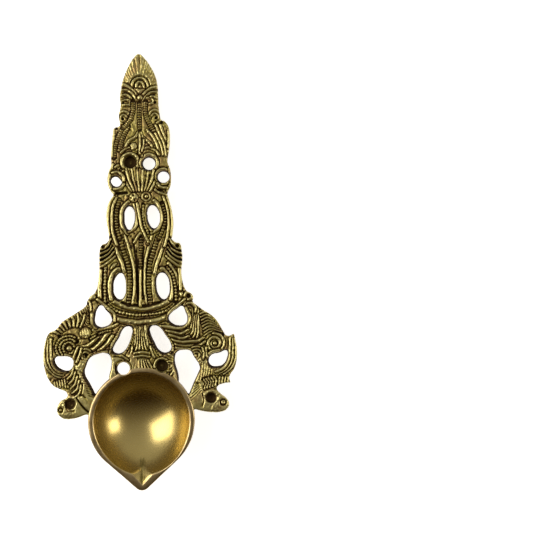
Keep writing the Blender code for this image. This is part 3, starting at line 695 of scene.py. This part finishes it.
def left_tail(face):
    for k in range(8):
        turn = radians(70 + 12.5 * k)
        face.cord([(-33.2 - 0.5 * k + 5.6 * cos(turn), 42.8 + 6.6 * sin(turn)),
                   (-33.0 - 0.5 * k + 9.6 * cos(turn), 43.4 + 9.6 * sin(turn)),
                   (-32.0 - 0.5 * k + 14.6 * cos(turn + 0.14), 42.6 + 13.4 * sin(turn + 0.14))],
                  0.72, -0.1 - 0.1 * (k % 2), 0.8)
    face.boss(-37.0, 38.2, 1.5, 0.0)
    for radius, start, end in ((2.9, 0, 330), (4.7, 40, 230), (6.4, 55, 215)):
        face.bead_ring(-37.2, 38.4, radius, start, end, 0.72, 1.45)
    # the limb's cords run down its outside and in under the opening
    for inward in (0.0, 1.6, 3.2):
        face.cord([(-47.8 + inward * 0.5, 44.6 - inward * 0.4), (-49.6 + inward, 37.4),
                   (-49.0 + inward, 31), (-45.9 + inward * 0.9, 25.7 + inward * 0.35),
                   (-41.6 + inward * 0.9, 23.4 + inward * 0.8)], 0.72)
    for k in range(6):
        face.cord([(-44.4 + 1.3 * k, 21.4 + 0.2 * k), (-44.0 + 1.3 * k, 18.6 - 0.1 * k)], 0.52)
    face.cord([(-36.8, 26.6), (-34.6, 29.4), (-35.4, 33.2), (-39, 35)], 0.85, -0.05)
    face.pit(-42.0, 44.6, 1.1, -2.5, 3)


def right_tail(face):
    for k in range(8):
        share = k / 7
        low, high = 55.2 - 11.6 * share, 55.0 - 9.4 * share
        face.cord([(31.0 + 2.0 * share, low), (34.2 + 2.6 * share, high + 1.0 - 0.9 * share),
                   (36.4 + 6.4 * share, high - 0.8 - 0.8 * share)], 0.6, -0.1 - 0.1 * (k % 2), 0.8)
    face.spiral(38.6, 39.4, 5.3, 2.2, 0.8, 0.0, 100, -1)
    face.boss(38.6, 39.4, 1.2, 0.0)
    # the limb's cords run down its outside and in under the opening
    for inward in (0.0, 1.6, 3.2):
        face.cord([(48.6 - inward * 0.6, 43.4 - inward * 0.4), (49.6 - inward, 37),
                   (49.1 - inward, 31), (46.6 - inward * 1.1, 26.2 + inward * 0.1),
                   (43.0 - inward * 1.3, 23.4 + inward * 0.35)], 0.72)
    for k in range(6):
        face.cord([(45.4 - 1.5 * k, 21.6 + 0.1 * k), (45.0 - 1.5 * k, 18.8 - 0.25 * k)], 0.55)
    face.cord([(36.8, 27.8), (34.4, 31), (36.0, 34.6), (40.6, 36)], 0.85, -0.05)
    face.pit(43.0, 44.2, 1.0, -2.5, 3)


def left_bird(face):
    face.sheet([(-22, 8), (-25.4, 11.6), (-28.6, 19.6), (-29.6, 27)], 5.2, -0.15)
    for k in range(10):
        face.groove([(-31.2 + 0.45 * k, 25.4 - 1.3 * k), (-28.6 + 0.5 * k, 24.4 - 1.3 * k),
                     (-26.2 + 0.55 * k, 24.6 - 1.3 * k)], 0.42, 1.0)
    face.cord([(-32.6, 12.4), (-29.8, 9.2), (-27.0, 5.8)], 0.6, 0.0)
    face.cord([(-30.6, 13.4), (-28.4, 10.6), (-26, 7.4)], 0.6, 0.0)
    for k in range(5):
        face.cord([(-35.0 + 1.0 * k, 28.2 - 2.2 * k), (-35.8 + 1.0 * k, 24.6 - 2.3 * k),
                   (-37.8 + 0.8 * k, 22.4 - 2.4 * k)], 0.62)
    face.cord([(-33.2, 31), (-31.8, 34.4), (-30.8, 38.2)], 0.75)
    face.cord([(-35.2, 32.6), (-34.0, 35.8), (-32.6, 38.8)], 0.7)


def right_bird(face):
    face.sheet([(22, 8), (25.4, 11), (29.0, 17), (31.6, 27)], 5.2, -0.2)
    for k in range(9):
        face.groove([(31.0 - 0.2 * k, 14.6 + 1.3 * k - 0.1 * k * k), (27.2 - 0.4 * k, 10.6 + 1.3 * k),
                     (23.4 - 0.2 * k, 8.2 + 1.2 * k)], 0.36, 0.5)
    for k in range(5):
        face.groove([(31.4 + 1.3 * k, 29.4 - 0.4 * k), (31.0 + 1.25 * k, 24), (30.0 + 1.2 * k, 20)],
                    0.4, 0.8)
    for k in range(5):
        face.cord([(32.6 + 1.3 * k, 20.6 + 0.4 * k), (33.8 + 1.3 * k, 18.0 + 0.5 * k),
                   (32.8 + 1.4 * k, 15.6 + 0.5 * k)], 0.6)
    face.cord([(35.4, 31), (33.8, 34), (34.0, 37.4)], 0.7)
    face.cord([(32.4, 31.4), (32.6, 34.4), (31.8, 37.4)], 0.6, -0.15)


def left_bird_head(face):
    face.sheet([(-40, 7.2), (-34, 8), (-29, 6)], 6.0, 0.0)
    face.pit(-36.5, 9.6, 3.0, -1.7, 5)
    face.pit(-41.4, 6.8, 1.6, -1.1, 6)
    face.boss(-41.4, 6.8, 0.8, 0.0)
    face.groove([(-39.2, 11.6), (-38.0, 6.4), (-34.4, 6.0)], 0.5, 0.9)
    face.groove([(-33.4, 12.6), (-30.6, 8.6), (-27.2, 5.2)], 0.55, 1.6)


def right_bird_head(face):
    face.sheet([(42, 8.4), (36, 9), (31, 7)], 6.2, 0.0)
    face.pit(36, 11, 3.1, -2.1, 5)
    face.pit(42.5, 8.5, 2.1, -0.7, 6)
    face.boss(42.5, 8.5, 1.3, 0.0, 0.4)
    face.pit(42.5, 8.5, 0.5, -0.8, 3)
    face.groove([(31.4, 6.6), (32.3, 9.6), (31.6, 13)], 0.45, 1.0)


CARVINGS = [ring_band, coil_bands_below, centre_rib, shoulder_leaves, coil_bands_above,
            centre_braid, waist, upper_panel, finial_leaf, lotus_fan, collars, left_wing,
            right_wing, left_tail, right_tail, left_bird, right_bird, left_bird_head,
            right_bird_head]


def grain(shape, cells, seed):
    """Seeded smooth noise from -1 to 1 whose features are about the given number of cells."""
    random = np.random.default_rng(seed)
    noise = random.uniform(-1, 1, shape)
    noise = blurred(noise, max(int(cells / 2), 1))
    return noise / np.abs(noise).max()


def uneven(shape, texture):
    """Seeded noise of a texture's own height, size and seed."""
    height, cells, seed = texture
    return height * grain(shape, cells, seed)


def wobbled(height):
    """The carving with its strokes pushed a little to and fro, as cutting by hand leaves them."""
    row, column = np.indices(height.shape)
    across = uneven(height.shape, WOBBLE_ACROSS)
    along = uneven(height.shape, WOBBLE_ALONG)
    return between_cells(height, column + across, row + along)


def rounding(signed, radius):
    """How far a rounded edge drops at a distance inside the outline."""
    inside = np.clip(signed, 0, radius)
    return radius - np.sqrt(radius ** 2 - (radius - inside) ** 2)


def enclosed_share(signed):
    """How much the nearest void is an opening in the lamp, and not the room around it."""
    void = signed < 0
    outside = np.zeros_like(void)
    outside[0] = outside[-1] = True
    grown = -1
    while outside.sum() != grown:
        grown = outside.sum()
        for axis, shift in NEIGHBOURS:
            outside |= void & np.roll(outside, shift, axis)
    reach = int(OPENING_REACH / STEP)
    opening = blurred((void & ~outside).astype(float), reach)
    around = blurred(outside.astype(float), reach)
    return opening / np.maximum(opening + around, 1e-3)


def opening_slope(signed, enclosed):
    """How far the face slopes down into its openings: most on their lower left sides."""
    slope_u, slope_v = np.gradient(signed, STEP)
    lean = np.clip(-(slope_u + slope_v) / sqrt(2), 0, 1)
    width = OPENING_BEVEL * (LEAST_BEVEL + (1 - LEAST_BEVEL) * lean)
    fall = np.clip(SLOPE_START - signed / width, 0, 1) ** SLOPE_CURVE
    return (LEAST_FALL + (1 - LEAST_FALL) * lean) * fall * enclosed


def carved_face(signed, slope):
    """Height of the casting's face: carved, worn, grained and rounded off at its edges."""
    face = Relief()
    shape = face.height.shape
    along = face.u[:, None]
    from_bowl = np.hypot(face.v, along)
    rough = np.clip((from_bowl - SMOOTH_REACH) / SMOOTH_FADE, SMOOTH_SHARE, 1)
    face.height += rough * uneven(shape, GROUND_SWELLS)
    dimples = np.clip((uneven(shape, DIMPLES) - DIMPLE_START) / DIMPLE_SPAN, 0, 1)
    face.height -= DIMPLE_DEPTH * rough * dimples
    for carve in CARVINGS:
        carve(face)
    softened = (1 - SOFTENED) * face.height + SOFTENED * blurred(face.height, 1)
    face.height = wobbled(softened)
    face.height *= 1 - SHALLOW_SHARE * np.clip((along - SHALLOW_FROM) / SHALLOW_FADE, 0, 1)
    face.height += rough * (uneven(shape, FINE_GRAIN) + uneven(shape, COARSE_GRAIN))
    face.height -= SLOW_WAVES[0] + uneven(shape, SLOW_WAVES)
    face.height -= OPENING_FALL * slope
    for v, u, radius in HOLLOWS:
        face.pit(v, u, radius, HOLLOW_BOTTOM, HOLLOW_STEEP)
    near_bowl = np.clip(RIM_OUTER + BOWL_JOIN_DROP - from_bowl, 0, 1)
    face.height = np.minimum(face.height, -BOWL_JOIN_DROP * near_bowl)
    face.height -= rounding(signed, EDGE_ROUND)
    return np.clip(face.height, LOWEST_FACE, HIGHEST_FACE)


def back_level(signed):
    """Height of the plate's back: rounded off at its edges and a little uneven."""
    level = rounding(signed, BACK_ROUND) - PLATE
    for texture in (BACK_WAVES, BACK_GRAIN):
        level += texture[0] + uneven(signed.shape, texture)
    return level


def rubbing_and_shade(height, signed, slope, enclosed):
    """The finish's vertex values, for the front and then the back, with painted shade on the slopes into
    the openings and partly in the openings.
    """
    raised = height - blurred(height, CAVITY_CELLS)
    fronts = {"cavity": np.clip(0.5 + raised / CAVITY_SPAN, 0, 1),
              "level": np.clip(1 + height / LEVEL_SPAN, 0, 1)}
    values = {}
    for label, (edge, rear, opening) in RUBBING_AND_SHADE.items():
        # Openings get darker values: partly patina, partly painted shade on their walls.
        on_edge = edge + (opening - edge) * enclosed
        behind_edge = rear + (opening - rear) * enclosed
        front = np.where(signed <= 0, on_edge, fronts[label])
        # Painted shade: the finish is darkened on the slopes into the openings, most on their lower left
        # sides.
        front = front * (1 - SLOPE_PAINTED_SHADE * np.sqrt(slope))
        back = np.where(signed <= 0, behind_edge, rear)
        values[label] = np.concatenate([front.ravel(), back.ravel()])
    return values


# ---------------------------------------------------------------- meshes

def snapped_grid(v, u, signed_fine):
    """Grid vertices, with those near the outline moved onto it, and their signed distances."""
    signed = sample(signed_fine, v, u)
    for _ in range(2):
        slope_v = (sample(signed_fine, v + FINE, u) - sample(signed_fine, v - FINE, u))
        slope_u = (sample(signed_fine, v, u + FINE) - sample(signed_fine, v, u - FINE))
        steep = np.maximum(np.hypot(slope_v, slope_u), 1e-6)
        near = np.abs(signed) < SNAP_REACH
        v = np.where(near, v - signed * slope_v / steep, v)
        u = np.where(near, u - signed * slope_u / steep, u)
        signed = np.where(near, sample(signed_fine, v, u), signed)
    return v, u, np.where(near, 0.0, signed)


def cells_of_handle(v, u, signed, labels, signed_fine):
    """Quads and triangles of the grid that lie inside the outline, each with its member."""
    index = np.arange(v.size).reshape(v.shape)
    corners = np.stack([index[:-1, :-1], index[:-1, 1:], index[1:, 1:], index[1:, :-1]], -1)
    corners = corners.reshape(-1, 4)
    inside = (signed.ravel() >= 0)[corners]
    count = inside.sum(axis=1)
    quads = corners[count == 4]
    triangles = []
    for missing in range(4):
        rest = [k for k in range(4) if k != missing]
        triangles.append(corners[(count == 3) & ~inside[:, missing]][:, rest])
    kept = []
    for group in (quads, np.vstack(triangles)):
        centre_v, centre_u = v.ravel()[group].mean(axis=1), u.ravel()[group].mean(axis=1)
        row = np.clip(((centre_u - LOW_U) / FINE).astype(int), 0, labels.shape[0] - 1)
        column = np.clip(((centre_v - LOW_V) / FINE).astype(int), 0, labels.shape[1] - 1)
        member = labels[row, column]
        good = (member != EMPTY) & (np.hypot(centre_v, centre_u) > RIM_OUTER - BOWL_OVERLAP)
        good &= sample(signed_fine, centre_v, centre_u) > LEAST_INSIDE
        kept.append((group[good], member[good]))
    return kept


def outline_edges(groups):
    """Directed edges that only one face of the groups has."""
    pairs = []
    for group in groups:
        for k in range(group.shape[1]):
            pairs.append(np.stack([group[:, k - 1], group[:, k]], -1))
    pairs = np.vstack(pairs)
    low, high = pairs.min(axis=1).astype(np.int64), pairs.max(axis=1).astype(np.int64)
    key = low * 10 ** 8 + high
    _, first, count = np.unique(key, return_index=True, return_counts=True)
    return pairs[first[count == 1]]


def closed_solid(front, count):
    """A solid's faces: its front, its back, which is count vertices on, and its walls."""
    edge = outline_edges(front)
    walls = np.stack([edge[:, 1], edge[:, 0], edge[:, 0] + count, edge[:, 1] + count], -1)
    return front + [group[:, ::-1] + count for group in front] + [walls]


def vertex_normals(points, groups):
    """The mean direction of the faces around each point, weighted by their areas."""
    normals = np.zeros_like(points)
    for group in groups:
        first = points[group[:, 2]] - points[group[:, 0]]
        second = points[group[:, -1]] - points[group[:, 1]]
        facing = np.cross(first, second)
        for k in range(group.shape[1]):
            np.add.at(normals, group[:, k], facing)
    return normals / np.maximum(np.linalg.norm(normals, axis=1), 1e-9)[:, None]


def new_mesh(name, points, groups, normals, values):
    """A smooth mesh object from faces of several sizes, with a value for each vertex."""
    used = np.unique(np.concatenate([group.ravel() for group in groups]))
    place = np.full(len(points), -1)
    place[used] = np.arange(len(used))
    faces = [face for group in groups for face in place[group].tolist()]
    mesh = bpy.data.meshes.new(name)
    mesh.from_pydata(points[used].tolist(), [], faces, shade_flat=False)
    for label, column in values.items():
        attribute = mesh.attributes.new(label, "FLOAT", "POINT")
        attribute.data.foreach_set("value", column[used].astype(np.float32))
    if normals is not None:
        mesh.normals_split_custom_set_from_vertices(normals[used])
    obj = bpy.data.objects.new(name, mesh)
    bpy.context.scene.collection.objects.link(obj)
    return obj


def stand_for(piece, node, material):
    """Gives the piece its finish and lets it stand for a CAD node."""
    piece.data.materials.append(material)
    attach(piece, "root")
    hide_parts(node)


def build_handle(nodes, material):
    """One closed solid for each handle member, all cut from one grid so that they meet."""
    signed_fine, labels, names = plan_of_handle(nodes)
    grid = Relief()
    even_v, even_u = np.meshgrid(grid.v, grid.u)
    even_signed = sample(signed_fine, even_v, even_u)
    enclosed = enclosed_share(even_signed)
    slope = opening_slope(even_signed, enclosed)
    height = carved_face(even_signed, slope)
    v, u, signed = snapped_grid(even_v, even_u, signed_fine)
    quads, triangles = cells_of_handle(v, u, signed, labels, signed_fine)
    front = np.stack([v.ravel(), u.ravel(), height.ravel()], -1)
    back = np.stack([v.ravel(), u.ravel(), back_level(signed).ravel()], -1)
    points = np.vstack([front, back])
    values = rubbing_and_shade(height, signed, slope, enclosed)
    normals = vertex_normals(points, closed_solid([quads[0], triangles[0]], v.size))
    normals = normals @ CASTING_TURN.T
    world = to_world(points)
    for label, name in enumerate(names):
        own = [group[member == label] for group, member in (quads, triangles)]
        own = [group for group in own if len(group)]
        piece = new_mesh(name + "_carved", world, closed_solid(own, v.size), normals, values)
        stand_for(piece, name, material)


# ---------------------------------------------------------------- bowl

def notch_level(v, u):
    """Height of the wick notch: two planes that meet in a crease under the spout's tip."""
    level = np.full(np.broadcast(v, u).shape, FAR_BELOW)
    tip = np.array([0.0, NOTCH_TIP, 0.0])
    floor = np.array(NOTCH_FLOOR)
    for side_v, side_u in NOTCH_SIDES:
        normal = np.cross(np.array([side_v, side_u, 0.0]) - tip, floor - tip)
        plane = -(normal[0] * (v - tip[0]) + normal[1] * (u - tip[1])) / normal[2]
        level = np.maximum(level, plane)
    return np.where(u < NOTCH_END, level, 0.0)


def egg(angle, radius, depth):
    """Reach of the hollow: a circle that swells towards the spout, a little more on the right."""
    towards = np.maximum(np.cos(angle), 0)
    swell = SPOUT_SWELL * towards ** 3 + SPOUT_LEAN * np.sin(angle) * towards ** 2
    return radius + swell * (1 - depth / INNER_DEPTH)


def last_place(low, high, holds):
    """The farthest place between two bounds, for each point, where a test still holds."""
    for _ in range(HALVINGS):
        middle = (low + high) / 2
        held = holds(middle)
        low, high = np.where(held, middle, low), np.where(held, high, middle)
    return low


def hollow_level(v, u):
    """Height of the round hollow's wall at a point: where its outline passes the point."""
    angle = np.arctan2(v, -u)
    reach = np.hypot(v, u)
    centre = INNER_SPHERE - INNER_DEPTH

    def wider(depth):
        radius = np.sqrt(np.maximum(INNER_SPHERE ** 2 - (centre + depth) ** 2, 0))
        return egg(angle, radius, depth) > reach

    return -last_place(np.zeros_like(reach), np.full_like(reach, INNER_DEPTH), wider)


def notched_hollow(v, u):
    """The hollow and the wick notch, run into each other without a crease."""
    hollow, notch = hollow_level(v, u), notch_level(v, u)
    share = np.clip(0.5 + (notch - hollow) / (2 * NOTCH_BLEND), 0, 1)
    level = notch * (1 - share) + hollow * share - NOTCH_BLEND * share * (1 - share)
    return np.minimum(level, 0)


def inner_outline(angle):
    """The inner lip: the hollow's edge, or the notch where that reaches farther."""
    reach = egg(angle, RIM_INNER, 0.0)

    def in_notch(middle):
        return notch_level(middle * np.sin(angle), -middle * np.cos(angle)) < -1e-6

    notch = last_place(np.full_like(reach, NOTCH_NEAR), np.full_like(reach, NOTCH_FAR), in_notch)
    return np.maximum(reach, notch)


def drilled(angle, depth, reach):
    """The outer wall's reach, cut back where a collar hole bites into it."""
    for hole_v, hole_u, radius, drill in COLLAR_HOLES:
        away = np.hypot(hole_v, hole_u)
        turn = angle - np.arctan2(hole_v, -hole_u)
        beside = away * np.sin(turn)
        half = np.sqrt(np.maximum(radius ** 2 - beside ** 2, 0))
        near = away * np.cos(turn) - half
        bites = (np.abs(beside) < radius) & (np.cos(turn) > 0) & (depth < drill)
        reach = np.where(bites, np.minimum(reach, near), reach)
    return reach


def ring(angle, reach, level):
    """Points round the bowl's centre; reach and level may change with the angle."""
    level = np.broadcast_to(level, angle.shape)
    return np.stack([reach * np.sin(angle), -reach * np.cos(angle), level], -1)


def bowl_rings(angle):
    """The bowl's rings: out through the hollow, over the lip and rim, and down to the foot."""
    waver = uneven((1, BOWL_TURNS), RIM_WAVER)[0]
    lip = inner_outline(angle)
    wall_end = lip - LIP_SET_BACK
    rings = []
    for share in 1 - (1 - np.linspace(0, 1, HOLLOW_RINGS + 1)[1:]) ** RING_CROWDING:
        reach = wall_end * share
        level = notched_hollow(reach * np.sin(angle), -reach * np.cos(angle))
        rings.append(ring(angle, reach, level))
    lip_level = rings[-1][:, 2]
    edge = drilled(angle, 0, teardrop(angle, RIM_OUTER, OUTER_FLANK, OUTER_TIP))
    room = np.clip(edge - lip, LEAST_RIM, RIM_WIDTH)
    for share in BEVEL_SHARES:
        reach = wall_end + (LIP_SET_BACK + LIP_BEVEL * room) * share
        rings.append(ring(angle, reach, lip_level * (1 - sin(share * pi / 2))))
    for share, drop in RIM_ROUNDING:
        rings.append(ring(angle, edge - room * (1 - share) + waver, -drop))
    centre = OUTER_SPHERE - OUTER_DEPTH
    for depth in np.concatenate([np.linspace(RIM_DEPTH, COLLAR_DEPTH, WALL_STEPS),
                                 np.linspace(WALL_DEPTH, OUTER_DEPTH, FOOT_STEPS)[:-1]]):
        radius = sqrt(OUTER_SPHERE ** 2 - (centre + depth) ** 2)
        fade = max(1 - (depth / OUTER_SPOUT_DEPTH) ** 2, 0)
        reach = teardrop(angle, radius, OUTER_FLANK * fade, min(OUTER_TIP, radius))
        rings.append(ring(angle, drilled(angle, depth, reach), -depth))
    return rings


def build_bowl(material):
    """The bowl as one closed solid, its underside cut off flat where it stands."""
    angle = 2 * pi * np.arange(BOWL_TURNS) / BOWL_TURNS
    angle = np.where(angle > pi, angle - 2 * pi, angle)
    rings = bowl_rings(angle)
    middle = np.array([[0.0, 0.0, -INNER_DEPTH], [0.0, 0.0, -OUTER_DEPTH]])
    casting = np.vstack(rings + [middle])
    points = to_world(casting)
    points[:, 2] = np.maximum(points[:, 2], 0.0)
    index = np.arange(len(rings) * BOWL_TURNS).reshape(len(rings), BOWL_TURNS)
    following = np.roll(index, -1, axis=1)
    quads = np.stack([index[:-1], following[:-1], following[1:], index[1:]], -1).reshape(-1, 4)
    hub, foot = len(points) - 2, len(points) - 1
    inner_fan = np.stack([index[0], np.full(BOWL_TURNS, hub), following[0]], -1)
    outer_fan = np.stack([following[-1], np.full(BOWL_TURNS, foot), index[-1]], -1)
    inner = np.zeros(len(points))
    inner[:HOLLOW_RINGS * BOWL_TURNS] = 1.0
    inner[hub] = 1.0
    across = np.clip((FURROW_HALF - np.abs(casting[:, 0])) / FURROW_SOFT, 0, 1)
    furrow = across * np.clip((FURROW_START - casting[:, 1]) / FURROW_FADE, 0, 1)
    spread = np.hypot(casting[:, 0], casting[:, 1]) / SPREAD_UNIT
    values = {"hollow": inner, "spread": spread, "furrow": furrow * inner}
    bowl = new_mesh("oil_bowl_turned", points, [quads, inner_fan, outer_fan], None, values)
    stand_for(bowl, "oil_bowl", material)


# ---------------------------------------------------------------- materials

class Nodes:
    """Short calls to add shader nodes to a material or world and join them."""

    def __init__(self, owner, shader):
        owner.use_nodes = True
        self.owner = owner
        self.tree = owner.node_tree
        self.shader = self.tree.nodes[shader]

    def add(self, kind, settings=None, **inputs):
        """A new node, its settings, and a value or a link for each named input."""
        node = self.tree.nodes.new(kind)
        for key, value in (settings or {}).items():
            setattr(node, key, value)
        for key, value in inputs.items():
            self.feed(node, key.replace("_", " "), value)
        return node

    def feed(self, node, socket, value):
        """Links a socket to the input, or sets the input to a value."""
        target = node.inputs[socket]
        if isinstance(value, bpy.types.NodeSocket):
            self.tree.links.new(value, target)
        else:
            target.default_value = value

    def attribute(self, name):
        """A vertex value of the mesh."""
        return self.add("ShaderNodeAttribute", {"attribute_name": name}).outputs["Fac"]

    def noise(self, where, scale, detail=4.0, roughness=0.55):
        """Soft random values about 0.5."""
        node = self.add("ShaderNodeTexNoise", Vector=where, Scale=scale, Detail=detail,
                        Roughness=roughness)
        return node.outputs["Fac"]

    def math(self, operation, a, b=0.0, c=0.0):
        node = self.add("ShaderNodeMath", {"operation": operation})
        for k, value in enumerate((a, b, c)):
            self.feed(node, k, value)
        return node.outputs[0]

    def total(self, first, *others):
        """The sum of several values."""
        for other in others:
            first = self.math("ADD", first, other)
        return first

    def scaled(self, value, factor, offset=0.0):
        """A value times a factor, and an offset."""
        return self.math("MULTIPLY_ADD", value, factor, offset)

    def centred(self, value, width):
        """A value from 0 to 1 made as wide as asked, about zero."""
        return self.scaled(value, width, -width / 2)

    def span(self, value, low, high, start=0.0, end=1.0):
        """A smooth step between two values, from the start to the end."""
        node = self.add("ShaderNodeMapRange", {"clamp": True, "interpolation_type": "SMOOTHSTEP"},
                        Value=value, From_Min=low, From_Max=high, To_Min=start, To_Max=end)
        return node.outputs["Result"]

    def mix(self, factor, a, b):
        """One colour turning into another as the factor goes from 0 to 1."""
        node = self.add("ShaderNodeMix", {"data_type": "RGBA"}, Factor=factor)
        for socket, colour in ((MIX_A, a), (MIX_B, b)):
            self.feed(node, socket, (*colour, 1.0) if isinstance(colour, tuple) else colour)
        return node.outputs[MIX_RESULT]

    def bump(self, height, strength, distance):
        """Turns the shader's normal by a height."""
        node = self.add("ShaderNodeBump", Strength=strength, Distance=distance, Height=height)
        self.feed(self.shader, "Normal", node.outputs["Normal"])


def antique_brass():
    """Worn brass: rubbed bright on the high points, brown-black grime left in the recesses, and the same
    brown-black as painted shade on the slopes into the openings.
    """
    n = Nodes(bpy.data.materials.new("antique_brass"), "Principled BSDF")
    where = n.add("ShaderNodeTexCoord").outputs["Object"]
    mottle = n.noise(where, 260.0, 5.0, 0.6)
    patches = n.noise(where, 130.0, 3.0)
    speck = n.noise(where, 1500.0, 2.0)
    wear_and_shade = n.total(n.scaled(n.attribute("cavity"), 0.62), n.scaled(n.attribute("level"), 0.42),
                   n.centred(mottle, 0.34), n.centred(speck, 0.16), n.centred(patches, 0.18))
    clear_of_grime_and_shade = n.span(wear_and_shade, 0.25, 0.51)
    bright = n.span(wear_and_shade, 0.58, 0.86)
    dull = n.mix(n.span(patches, 0.35, 0.65), DULL_WARM, DULL_GREEN)
    # The brown-black is grime in the recesses and painted shade on the slopes into the openings.
    n.feed(n.shader, "Base Color", n.mix(clear_of_grime_and_shade, GRIME_AND_PAINTED_SHADE, n.mix(bright, dull, RUBBED_BRIGHT)))
    n.feed(n.shader, "Metallic", n.span(wear_and_shade, 0.24, 0.46, 0.85, 1.0))
    rough = n.total(n.scaled(bright, -0.13, 0.47), n.centred(mottle, 0.16),
                    n.scaled(clear_of_grime_and_shade, -0.22, 0.22))
    n.feed(n.shader, "Roughness", rough)
    n.bump(n.total(mottle, n.scaled(speck, 0.5)), 0.35, 0.00012)
    return n.owner


def satin_brass():
    """Turned and buffed brass with circular brush marks in the hollow and a duller rim."""
    n = Nodes(bpy.data.materials.new("satin_brass"), "Principled BSDF")
    where = n.add("ShaderNodeTexCoord").outputs["Object"]
    hollow = n.attribute("hollow")
    split = n.add("ShaderNodeSeparateXYZ", Vector=where)
    turn = n.math("ARCTAN2", split.outputs["Y"], split.outputs["X"])
    around = n.add("ShaderNodeCombineXYZ", X=n.scaled(n.math("SINE", turn), 0.55),
                   Y=n.scaled(n.math("COSINE", turn), 0.55),
                   Z=n.scaled(n.attribute("spread"), 26.0)).outputs[0]
    brush = n.noise(around, 6.0, 6.0, 0.7)
    wide = n.noise(where, 45.0, 3.0)
    stain = n.noise(where, 160.0, 5.0, 0.65)
    inside = n.mix(n.span(wide, 0.3, 0.7), HOLLOW_DARK, HOLLOW_PALE)
    outside = n.mix(n.span(stain, 0.35, 0.62), OUTSIDE_STAINED, OUTSIDE_CLEAN)
    brushed = n.span(n.total(brush, n.scaled(stain, 0.3)), 0.75, 0.95)
    colour = n.mix(brushed, n.mix(hollow, outside, inside), BRUSH_DARK)
    scrape = n.add("ShaderNodeMapping", Vector=where, Scale=(1400.0, 220.0, 220.0)).outputs[0]
    marks = n.math("MULTIPLY", n.noise(scrape, 1.0, 4.0, 0.7), n.attribute("furrow"))
    n.feed(n.shader, "Base Color", n.mix(n.span(marks, 0.30, 0.62), colour, SCRAPE_DARK))
    n.feed(n.shader, "Metallic", 1.0)
    n.feed(n.shader, "Roughness", n.total(n.scaled(brush, 0.10, 0.20), n.scaled(hollow, -0.04, 0.06)))
    relief = n.total(brush, n.scaled(stain, 0.35))
    n.bump(n.total(n.scaled(marks, 12.0), relief), 0.14, 0.00006)
    return n.owner


def floor_paper():
    """Plain pale paper with a trace of unevenness."""
    n = Nodes(bpy.data.materials.new("floor_paper"), "Principled BSDF")
    where = n.add("ShaderNodeTexCoord").outputs["Object"]
    tone = n.mix(n.noise(where, 9.0), PAPER_DARK, PAPER_PALE)
    n.feed(n.shader, "Base Color", tone)
    n.feed(n.shader, "Roughness", 0.9)
    n.feed(n.shader, "Emission Color", tone)
    n.feed(n.shader, "Emission Strength", PAPER_GLOW)
    return n.owner


# ---------------------------------------------------------------- studio

def build_floor():
    """A wide sheet of paper under the lamp."""
    bpy.ops.mesh.primitive_plane_add(size=6.0, location=(0, 0, 0))
    floor = bpy.context.object
    floor.name = "studio_floor"
    floor.data.materials.append(floor_paper())


def soft_light(name, direction, size, roll, power):
    """A rectangular area light, along a direction from where it aims, rolled about that line."""
    light = bpy.data.lights.new(name, "AREA")
    light.shape = "RECTANGLE"
    light.size, light.size_y = size
    light.energy = power
    light.color = LAMPLIGHT
    obj = bpy.data.objects.new(name, light)
    bpy.context.scene.collection.objects.link(obj)
    away = Vector(direction).normalized() * LIGHT_DISTANCE
    obj.location = LIGHT_AIM + away
    facing = (-away).to_track_quat("-Z", "Y").to_matrix()
    obj.rotation_euler = (facing @ Matrix.Rotation(radians(roll), 3, "Z")).to_euler()


def build_world():
    """A plain room: a little light from everywhere, brighter towards the handle's end."""
    world = bpy.data.worlds.new("studio")
    bpy.context.scene.world = world
    n = Nodes(world, "Background")
    where = n.add("ShaderNodeTexCoord").outputs["Generated"]
    split = n.add("ShaderNodeSeparateXYZ", Vector=where)
    ramp = n.add("ShaderNodeValToRGB", Fac=n.scaled(split.outputs["Y"], 0.5, 0.5))
    ramp.color_ramp.elements.new(0.5)
    for element, (place, colour) in zip(ramp.color_ramp.elements, ROOM_LIGHT):
        element.position = place
        element.color = (*colour, 1.0)
    seen = n.add("ShaderNodeLightPath").outputs["Is Camera Ray"]
    n.feed(n.shader, "Color", n.mix(seen, ramp.outputs["Color"], BACKDROP))
    n.feed(n.shader, "Strength", 1.0)


def build_camera():
    """Straight above the table, turned a little so that the lamp stands left of the middle."""
    camera = bpy.data.cameras.new("camera")
    camera.sensor_width = 36.0
    camera.lens = CAMERA_LENS
    camera.shift_x = CAMERA_SHIFT
    camera.clip_start = 0.01
    obj = bpy.data.objects.new("camera", camera)
    bpy.context.scene.collection.objects.link(obj)
    obj.location = CAMERA_PLACE
    obj.rotation_euler = CAMERA_TURN
    bpy.context.scene.camera = obj


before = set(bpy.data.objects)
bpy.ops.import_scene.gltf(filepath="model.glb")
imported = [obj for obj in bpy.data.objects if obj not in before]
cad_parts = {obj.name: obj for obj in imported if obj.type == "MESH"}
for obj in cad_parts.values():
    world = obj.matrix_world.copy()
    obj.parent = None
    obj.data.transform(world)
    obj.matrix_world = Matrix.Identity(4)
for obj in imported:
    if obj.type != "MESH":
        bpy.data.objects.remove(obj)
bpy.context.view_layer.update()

build_handle(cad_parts, antique_brass())
build_bowl(satin_brass())
build_floor()
soft_light("key_light", (-1.36, 0.34, 1.0), size=(0.60, 1.05), roll=42, power=7.5)
soft_light("fill_light", (2.15, 0.20, 1.0), size=(0.34, 0.38), roll=0, power=2.0)
build_world()
build_camera()
bpy.context.scene.view_settings.view_transform = "Standard"
